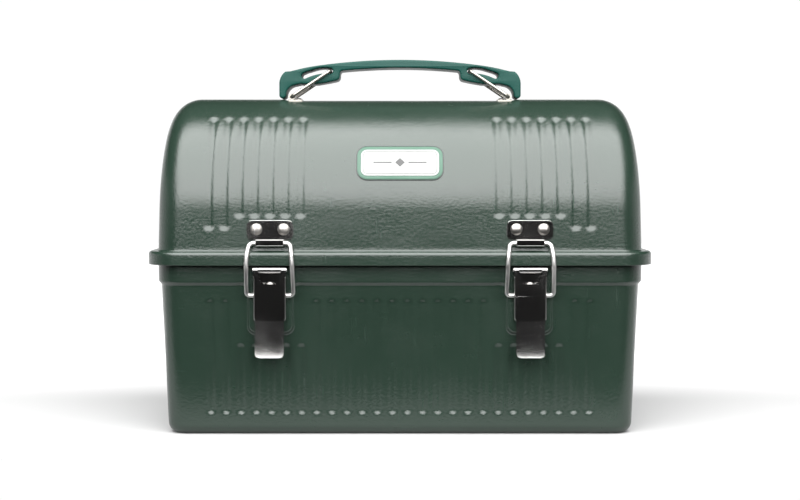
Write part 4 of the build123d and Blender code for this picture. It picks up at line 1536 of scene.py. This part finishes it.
@dataclass
class Handle:
    """The moulded grip and the two wire links that carry it."""

    top: float = 253.0
    thick: float = 6.4
    top_drop: float = 0.8
    shoulder_drop: float = 1.6
    half_y: float = 11.0
    radius: float = 417.0
    link_x: float = 75.7
    link_z: float = 226.5
    link_wire: float = 1.15
    link_half_y: float = 13.0
    bar_x: float = 48.8
    bar_z: float = 244.4
    lift: float = 16.5
    turn: float = 40.5
    slot_half: float = 2.0

    def arch(self, x: float, drop: float = 0.0) -> float:
        """Height of the arch's top at x, or of the same arch set in by drop."""
        radius = self.radius - drop
        return self.top - self.radius + math.sqrt(radius**2 - x**2)

    def bar(self, share: float) -> tuple[float, float]:
        """The place of the link's bar in the grip.

        Args:
            share: how much of its lift the handle has made, 0 to 1.

        Returns:
            The bar's X and Z.
        """
        run, rise = self.link_x - self.bar_x, self.bar_z - self.link_z
        length = math.hypot(run, rise)
        angle = math.atan2(rise, run) + math.radians(self.turn) * share
        height = self.link_z + length * math.sin(angle) - self.lift * share
        return self.link_x - length * math.cos(angle), height

    def outline(self) -> list[tuple[float, float]]:
        """The right half of the grip's side view.

        Returns:
            Its X and Z from the top's middle to the underside's.
        """
        points = [(x, self.arch(x)) for x in steps((0.0, 73.0, 4.0))]
        points += arc_through((75.0, self.arch(75.0)), (81.4, 243.0), (84.4, 236.2), 8)
        points += [(84.4, 232.0)]
        points += arc_through((84.4, 228.2), (82.1, 225.4), (79.8, 228.2), 8)
        points += arc_through((79.7, 228.8), (77.9, 232.3), (73.5, 234.6), 6)
        points += [(69.7, 235.5), (63.0, 235.3), (57.7, 235.4), (50.0, 236.7)]
        points += arc_through((44.9, 237.8), (42.9, 238.8), (42.1, 240.7), 5)
        points += [(42.0, 242.4)]
        points += arc_through((41.8, 243.4), (41.2, 244.3), (40.0, self.arch(40.0, self.thick)), 3)
        points += [(x, self.arch(x, self.thick)) for x in steps((36.0, 0.0, 4.0))]
        return points

    def slot_outline(self) -> list[tuple[float, float]]:
        """The right slot, a band that follows the bar's path.

        Returns:
            X and Z of its points in order.
        """
        path = [self.bar(k / 10) for k in range(11)]
        ways = [Vector(path[min(k + 1, 10)]) - Vector(path[max(k - 1, 0)]) for k in range(11)]
        normals = [Vector((-w.y, w.x)).normalized() for w in ways]
        upper = [tuple(Vector(p) + n * self.slot_half) for p, n in zip(path, normals)]
        lower = [tuple(Vector(p) - n * self.slot_half) for p, n in zip(path, normals)]
        start, end = math.atan2(normals[-1].y, normals[-1].x), math.atan2(normals[0].y, normals[0].x)

        def round_end(centre: tuple[float, float], begin: float) -> list[tuple[float, float]]:
            """The slot's half-round end.

            Args:
                centre: the end of the bar's path.
                begin: the angle at which the round begins.

            Returns:
                Its points, without those where it meets the slot's sides.
            """
            (x, z), radius = centre, self.slot_half
            angles = [begin - math.pi * k / 7 for k in range(1, 7)]
            return [(x + radius * math.cos(a), z + radius * math.sin(a)) for a in angles]

        far, near = round_end(path[-1], start), round_end(path[0], end - math.pi)
        return upper + far + list(reversed(lower)) + near

    def make_grip(self, finish: Finishes) -> bpy.types.Object:
        """Builds the grip from its side view, with rounded edges.

        Args:
            finish: the box's finishes.

        Returns:
            The finished piece.
        """
        half, eased = self.outline(), 1.25
        whole = half + [(-x, z) for x, z in reversed(half[1:-1])]
        slot = self.slot_outline()
        curve = bpy.data.curves.new("grip_outline", "CURVE")
        curve.dimensions, curve.fill_mode = "2D", "BOTH"
        for loop in (whole, slot, [(-x, z) for x, z in slot]):
            spline = curve.splines.new("POLY")
            spline.points.add(len(loop) - 1)
            spline.use_cyclic_u = True
            for point, (x, z) in zip(spline.points, loop):
                point.co = (x * MM, z * MM, 0, 1)
        curve.extrude = (self.half_y - eased) * MM
        curve.bevel_depth, curve.bevel_resolution, curve.offset = eased * MM, 3, -eased * MM
        source = bpy.data.objects.new("grip_outline", curve)
        bpy.context.scene.collection.objects.link(source)
        bpy.context.view_layer.update()
        mesh = bpy.data.meshes.new_from_object(source.evaluated_get(bpy.context.evaluated_depsgraph_get()))
        bpy.data.objects.remove(source)
        mesh.transform(Matrix.Rotation(math.pi / 2, 4, "X"))
        mesh.name = "grip_moulding"
        shape = bmesh.new()
        shape.from_mesh(mesh)
        bmesh.ops.remove_doubles(shape, verts=shape.verts, dist=0.01 * MM)
        for vert in shape.verts:
            x, z = np.array(abs(vert.co.x) / MM), np.array(vert.co.z / MM)
            crown = self.top_drop * smooth(246.8, 249.5, z)
            shoulder = self.shoulder_drop * smooth(55, 78, x) * smooth(243.8, 246.0, z)
            vert.co.z -= float(crown + shoulder) * MM
        bmesh.ops.recalc_face_normals(shape, faces=shape.faces)
        shape.to_mesh(mesh)
        shape.free()
        mesh.materials.clear()
        mesh.materials.append(finish.grip)
        obj = bpy.data.objects.new("grip_moulding", mesh)
        bpy.context.scene.collection.objects.link(obj)
        soften(obj, 40)
        return placed(obj, "handle", "grip_plastic", "handle_grip")

    def make_link(self, side: Side, finish: Finishes) -> bpy.types.Object:
        """Bends one closed wire link.

        Args:
            side: the end of the box.
            finish: the box's finishes.

        Returns:
            The finished piece.
        """
        s, h = side.value, self.link_half_y
        corners = [(s * self.link_x, -h, self.link_z), (s * self.bar_x, -h, self.bar_z),
                   (s * self.bar_x, h, self.bar_z), (s * self.link_x, h, self.link_z)]
        maker = MeshMaker(f"link_{side.word}")
        maker.tube(filleted(corners, [3.0] * 4, closed=True), self.link_wire, closed=True)
        obj = maker.build(finish.link, sharp=60)
        return placed(obj, f"link_{side.word}", "wire_steel", f"handle_link_{side.word}")


def arc_through(a: tuple[float, float], b: tuple[float, float], c: tuple[float, float], pieces: int
                ) -> list[tuple[float, float]]:
    """Points on the arc through three points.

    Args:
        a: its start.
        b: a point on it.
        c: its end.
        pieces: how many facets it has.

    Returns:
        The points, with both ends.
    """
    (ax, ay), (bx, by), (cx, cy) = a, b, c
    d = 2 * (ax * (by - cy) + bx * (cy - ay) + cx * (ay - by))
    ux = ((ax**2 + ay**2) * (by - cy) + (bx**2 + by**2) * (cy - ay) + (cx**2 + cy**2) * (ay - by)) / d
    uy = ((ax**2 + ay**2) * (cx - bx) + (bx**2 + by**2) * (ax - cx) + (cx**2 + cy**2) * (bx - ax)) / d
    start, mid, end = (math.atan2(y - uy, x - ux) for x, y in (a, b, c))
    turn = 2 * math.pi
    sweep_on, part_on = (end - start) % turn, (mid - start) % turn
    sweep = sweep_on if part_on <= sweep_on else sweep_on - turn
    radius = math.hypot(ax - ux, ay - uy)
    angles = [start + sweep * k / pieces for k in range(pieces + 1)]
    return [(ux + radius * math.cos(a), uy + radius * math.sin(a)) for a in angles]


@dataclass
class Badge:
    """A plain curved badge on the dome: a green border, a raised rim and a field with a generic diamond."""

    lid: LidShell
    half_x: float = 28.5
    half_v: float = 12.25
    corner: float = 7.0
    lean: float = 25.0
    field_rise: float = 0.56
    mark_rise: float = 0.07
    diamond_half: float = 3.2
    bar_from: float = 5.5
    bar_to: float = 17.5
    bar_half: float = 0.45

    def on_dome(self, u: float, v: float, rise: float) -> Point:
        """A point on the badge.

        Args:
            u: its place across the dome.
            v: its place up the dome.
            rise: its height over the dome.

        Returns:
            The point.
        """
        angle = math.radians(self.lean) + v / self.lid.radius
        reach = self.lid.radius + rise
        return (u, -reach * math.cos(angle), self.lid.centre_z + reach * math.sin(angle))

    def layer(self, name: str, rings: Sequence[tuple[float, float]], material: bpy.types.Material,
              closed: bool = True) -> bpy.types.Object:
        """Builds one layer from nested rounded rectangles.

        Args:
            name: the layer's name.
            rings: (set in from the badge's edge, height) for each ring.
            material: its finish.
            closed: whether the middle is filled.

        Returns:
            The layer.
        """
        loops = []
        for shrink, rise in rings:
            corner = max(0.6, self.corner - shrink)
            loop = rounded_loop(self.half_x - shrink, self.half_v - shrink, corner)
            loops.append([self.on_dome(u, v, rise) for u, v in loop])
        if closed:
            reach = self.half_x - self.half_v
            spine = [float(np.clip(u, -reach, reach)) for u, _ in loop]
            for share in (0.6, 0.3, 0.0):
                near = [(mid + (u - mid) * share, v * share) for mid, (u, v) in zip(spine, loop)]
                loops.append([self.on_dome(u, v, rise) for u, v in near])
        maker = MeshMaker(name)
        maker.grid(np.array(loops, float), wrap=True)
        obj = maker.build(material, sharp=50)
        front_first(obj)
        return obj

    def mark(self, name: str, corners: Sequence[tuple[float, float]], rise: float,
             material: bpy.types.Material) -> bpy.types.Object:
        """Builds a small flat raised mark.

        Args:
            name: its name.
            corners: its outline across and along the dome.
            rise: the height of the field under it.
            material: its finish.

        Returns:
            The mark.
        """
        maker = MeshMaker(name)
        edge = []
        for (au, av), (bu, bv) in zip(corners, (*corners[1:], corners[0])):
            edge += [(au + (bu - au) * k / 4, av + (bv - av) * k / 4) for k in range(4)]
        middle = (sum(c[0] for c in corners) / len(corners), sum(c[1] for c in corners) / len(corners))
        top = rise + self.mark_rise
        loops = [[self.on_dome(*c, rise) for c in edge], [self.on_dome(*c, top) for c in edge]]
        loops.append([self.on_dome(*middle, top)] * len(edge))
        maker.grid(np.array(loops, float), wrap=True)
        obj = maker.build(material, sharp=40)
        front_first(obj)
        return obj

    def make(self, finish: Finishes) -> None:
        """Builds the badge's layers and its mark.

        Args:
            finish: the box's finishes.
        """
        border = self.layer(
            "badge_border",
            [(0.0, 0.0), (0.0, 0.35), (0.15, 0.5), (2.4, 0.5), (2.7, 0.35), (5.0, 0.35)],
            finish.badge_green,
        )
        placed(border, "lid", "badge_green", "badge_plate")
        outline = self.layer(
            "badge_outline",
            [(-0.35, 0.0), (-0.3, 0.3), (0.3, 0.56), (0.5, 0.4)],
            finish.badge_line,
            closed=False,
        )
        placed(outline, "lid", "badge_green")
        rim = self.layer(
            "badge_rim",
            [(2.75, 0.3), (2.85, 0.62), (3.1, 0.7), (3.5, 0.7), (3.7, 0.58), (4.5, self.field_rise)],
            finish.badge_cream,
        )
        placed(rim, "lid", "badge_cream", "badge_field")
        line = self.layer(
            "badge_line",
            [(4.15, 0.5), (4.18, 0.63), (4.45, 0.63), (4.48, 0.5)],
            finish.badge_line,
            closed=False,
        )
        placed(line, "lid", "badge_cream")
        half, low, high, rise = self.diamond_half, self.bar_from, self.bar_to, self.bar_half
        diamond = [(half, 0.0), (0.0, half), (-half, 0.0), (0.0, -half)]
        placed(self.mark("badge_diamond", diamond, self.field_rise, finish.badge_line), "lid", "badge_cream")
        for side in Side:
            sign = side.value
            bar = [(sign * low, -rise), (sign * high, -rise), (sign * high, rise), (sign * low, rise)]
            piece = self.mark(f"badge_bar_{side.word}", bar, self.field_rise, finish.badge_line)
            placed(piece, "lid", "badge_cream")


# ---------------------------------------------------------------- CAD pieces that keep their shape


@dataclass
class KeptParts:
    """Stamped and turned parts whose CAD shape is right and only needs its edges broken."""

    stamped: Sequence[tuple[str, str]] = (
        ("latch_base", "body"), ("hinge_leaf_lower", "body"), ("hinge_leaf_upper", "lid"),
        ("handle_bracket", "lid"), ("clamp_catch", "lid"), ("clamp_pivot", "lid"),
    )
    pins: Sequence[tuple[str, str]] = (("latch_pin", "body"), ("hinge_pin", "body"))

    def softened(self, node: str, body: str, slot: str, width: float,
                 material: bpy.types.Material) -> bpy.types.Object:
        """Copies a CAD node's shape and breaks its edges.

        Args:
            node: the CAD node.
            body: the body that it rides on.
            slot: its material slot.
            width: the edges' rounding in millimetres.
            material: its finish.

        Returns:
            The new piece.
        """
        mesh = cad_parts[node].data.copy()
        mesh.name = f"{node}_stamping"
        shape = bmesh.new()
        shape.from_mesh(mesh)
        bmesh.ops.remove_doubles(shape, verts=shape.verts, dist=0.002 * MM)
        bmesh.ops.dissolve_limit(shape, angle_limit=math.radians(1.0), verts=shape.verts, edges=shape.edges)
        shape.to_mesh(mesh)
        shape.free()
        mesh.materials.clear()
        mesh.materials.append(material)
        obj = bpy.data.objects.new(mesh.name, mesh)
        bpy.context.scene.collection.objects.link(obj)
        if obj.data.has_custom_normals:
            bpy.context.view_layer.objects.active = obj
            bpy.ops.mesh.customdata_custom_splitnormals_clear()
        soften(obj, 40)
        ease_edges(obj, width, 2, 40)
        return placed(obj, body, slot, node)

    def make(self, finish: Finishes) -> None:
        """Dresses each kept part.

        Args:
            finish: the box's finishes.
        """
        for side in Side:
            for stem, body in self.stamped:
                metal = finish.link if stem == "handle_bracket" else finish.bright
                self.softened(f"{stem}_{side.word}", body, "bright_steel", 0.2, metal)
            for stem, body in self.pins:
                self.softened(f"{stem}_{side.word}", body, "wire_steel", 0.1, finish.wire)


@dataclass
class BottleClamp:
    """The wire frame inside the lid that holds a bottle in the dome."""

    lid: LidShell
    z: float = 127.0
    wire_radius: float = 1.5
    half_x: float = 96.0
    latch_x: float = 85.0
    stand_in: float = 4.0
    fixing_z: float = 136.4

    def make(self, finish: Finishes) -> bpy.types.Object:
        """Bends the clamp.

        Args:
            finish: the box's finishes.

        Returns:
            The finished piece.
        """
        pivot = float(self.lid.wall(np.array(self.fixing_z))) - self.lid.press.sheet - self.stand_in
        end = self.latch_x - 8
        route = [(-end, pivot, self.z), (-self.half_x, pivot, self.z), (-self.half_x, -pivot, self.z),
                 (self.half_x, -pivot, self.z), (self.half_x, pivot, self.z), (end, pivot, self.z)]
        maker = MeshMaker("clamp_wire")
        maker.tube(filleted(route, [3.0, 8.0, 8.0, 3.0]), self.wire_radius)
        return placed(maker.build(finish.wire, sharp=60), "clamp", "wire_steel", "bottle_clamp")


# ---------------------------------------------------------------- studio


@dataclass
class Studio:
    """A pale floor whose rear glows white as painted light, lifting the box's shadow behind it; one large
    soft light in front and overhead; and the camera.
    """

    lens: float = 62.45
    sensor: float = 36.0
    distance: float = 985.0
    eye: float = 172.0
    tilt: float = -3.1
    floor_half: float = 4000.0
    floor_front: float = -150.0
    floor_rear: float = 2500.0
    glow_from: float = 60.0
    glow_to: float = 330.0
    box_low: tuple[float, float] = (-1050.0, 285.0)
    box_high: tuple[float, float] = (130.0, 1350.0)
    box_width: float = 1800.0
    power: float = 74.0
    back_light: float = 1.0
    room: float = 0.012

    def light(self, name: str, at: Point, aim: Point, size: tuple[float, float],
              power: float) -> bpy.types.Object:
        """Hangs a rectangular soft light.

        Args:
            name: its name.
            at: its place in millimetres.
            aim: the point that it faces.
            size: its width and height in millimetres.
            power: its power in watts.

        Returns:
            The light.
        """
        lamp = bpy.data.lights.new(name, "AREA")
        lamp.shape, lamp.size, lamp.size_y, lamp.energy = "RECTANGLE", size[0] * MM, size[1] * MM, power
        obj = bpy.data.objects.new(name, lamp)
        bpy.context.scene.collection.objects.link(obj)
        obj.location = Vector(at) * MM
        obj.rotation_euler = (Vector(aim) - Vector(at)).to_track_quat("-Z", "Y").to_euler()
        return obj

    def air(self) -> None:
        """Fills the surroundings: a white sweep behind the box and a dark room in front of it."""
        world = bpy.data.worlds.new("studio_air")
        world.use_nodes = True
        tree = world.node_tree
        where = tree.nodes.new("ShaderNodeTexCoord")
        split = tree.nodes.new("ShaderNodeSeparateXYZ")
        wire(tree, where.outputs["Generated"], split.inputs[0])
        behind = ramp(tree, split.outputs["Y"], -0.55, 0.30)
        low = maths(tree, "SUBTRACT", 1.0, ramp(tree, split.outputs["Z"], 0.16, 0.34))
        sweep = maths(tree, "MULTIPLY", behind, low)
        wire(tree, maths(tree, "ADD", maths(tree, "MULTIPLY", sweep, self.back_light), self.room),
             tree.nodes["Background"].inputs["Strength"])
        tree.nodes["Background"].inputs["Color"].default_value = (1.0, 1.0, 1.0, 1.0)
        bpy.context.scene.world = world

    def set_up(self) -> None:
        """Builds the floor, the light, the air and the camera."""
        maker = MeshMaker("studio_floor")
        corners = [[(x, y, 0.0) for x in (-self.floor_half, self.floor_half)]
                   for y in (self.floor_front, self.floor_rear)]
        maker.grid(np.array(corners, float), flip=True)
        coat = Coating.start("studio_paper", 0.8, 0.0, specular=0.1)
        coat.feed("Base Color", coat.mix(noise(coat.tree, 3.0, 3.0), (0.34, 0.34, 0.34), (0.37, 0.37, 0.37)))
        where = coat.tree.nodes.new("ShaderNodeTexCoord")
        split = coat.tree.nodes.new("ShaderNodeSeparateXYZ")
        wire(coat.tree, where.outputs["Object"], split.inputs[0])
        # Painted light: the floor glows. The glow rises from none at glow_from to full white at glow_to
        # behind the box and stays evenly white beyond, lifting the box's shadow there and whitening the
        # backdrop.
        lit = ramp(coat.tree, split.outputs["Y"], self.glow_from * MM, self.glow_to * MM)
        coat.feed("Emission Color", coat.mix(lit, (0.0, 0.0, 0.0), (1.0, 1.0, 1.0)))
        coat.shader.inputs["Emission Strength"].default_value = 1.0
        floor = maker.build(coat.material)
        low, high = Vector((0, *self.box_low)), Vector((0, *self.box_high))
        middle, rise = (low + high) / 2, high - low
        aim = middle + Vector((0, rise.z, -rise.y))
        self.light("soft_box", tuple(middle), tuple(aim), (self.box_width, rise.length), self.power)
        self.air()
        camera = bpy.data.cameras.new("camera")
        camera.lens, camera.sensor_width = self.lens, self.sensor
        obj = bpy.data.objects.new("camera", camera)
        bpy.context.scene.collection.objects.link(obj)
        obj.location = (0, -self.distance * MM, self.eye * MM)
        obj.rotation_euler = (math.radians(90 + self.tilt), 0, 0)
        bpy.context.scene.camera = obj
        bpy.context.scene.view_settings.view_transform = "Standard"


def rivet_sets(press: Pressing, lid: LidShell) -> list[Rivets]:
    """Every set of rivets, seated on the plates that it holds.

    Args:
        press: the shared sizes.
        lid: the lid's form.

    Returns:
        The sets.
    """
    plate, hook_sheet, fix_x, fix_z = 1.2, 1.0, 8.9, 136.4
    lean = math.radians(lid.draft)
    middles = [side.value * press.latch_x for side in Side]
    pairs = [x + dx for x in middles for dx in (-fix_x, fix_x)]
    wall = float(lid.wall(np.array(fix_z)))
    bracket_x, bracket_y = 71.0, 6.0
    reach = lid.radius - lid.recess_depth + 1.0
    tops = []
    for x in (-bracket_x, bracket_x):
        for y in (-bracket_y, bracket_y):
            turn = y / (lid.radius - lid.recess_depth)
            way = (0.0, math.sin(turn), math.cos(turn))
            tops.append(((x, reach * way[1], lid.centre_z + reach * way[2]), way))
    latch_seats = [((x, -press.wall_y - plate, z), (0, -1, 0)) for x in middles for z in (99.7, 85.0)]
    strike_way, rear_way = (0, -math.cos(lean), math.sin(lean)), (0, math.cos(lean), math.sin(lean))
    strike_seats = [((x, -wall - hook_sheet, fix_z), strike_way) for x in pairs]
    lower_seats = [((x, press.wall_y + plate, z), (0, 1, 0)) for x in pairs for z in (98.0, 83.0)]
    upper_seats = [((x, wall + plate, fix_z), rear_way) for x in pairs]
    return [
        Rivets("latch_base_rivets", "body", latch_seats, 5.0, plate + 0.8),
        Rivets("strike_rivets", "lid", strike_seats, 7.8, 3.4),
        Rivets("hinge_lower_rivets", "body", lower_seats, 6.0, plate + 0.8),
        Rivets("hinge_upper_rivets", "lid", upper_seats, 6.0, 3.6),
        Rivets("handle_bracket_rivets", "lid", tops, 4.4, 1.87),
    ]


def main() -> None:
    """Builds the box, piece by piece, and reports each."""
    logging.basicConfig(level=logging.INFO, format="%(name)s: %(message)s")
    Studio().set_up()
    finish = Finishes()
    press = Pressing()
    lid = LidShell(press)
    BodyShell(press).make(finish)
    lid.make(finish)
    for side in Side:
        latch = Latch(press, lid, side)
        latch.make_lever(finish)
        latch.make_bail(finish)
        latch.make_strike(finish)
    handle = Handle()
    handle.make_grip(finish)
    for side in Side:
        handle.make_link(side, finish)
    for rivets in rivet_sets(press, lid):
        rivets.make(finish)
    Badge(lid).make(finish)
    BottleClamp(lid).make(finish)
    KeptParts().make(finish)
    bpy.context.view_layer.update()


if __name__ == "__main__":
    main()
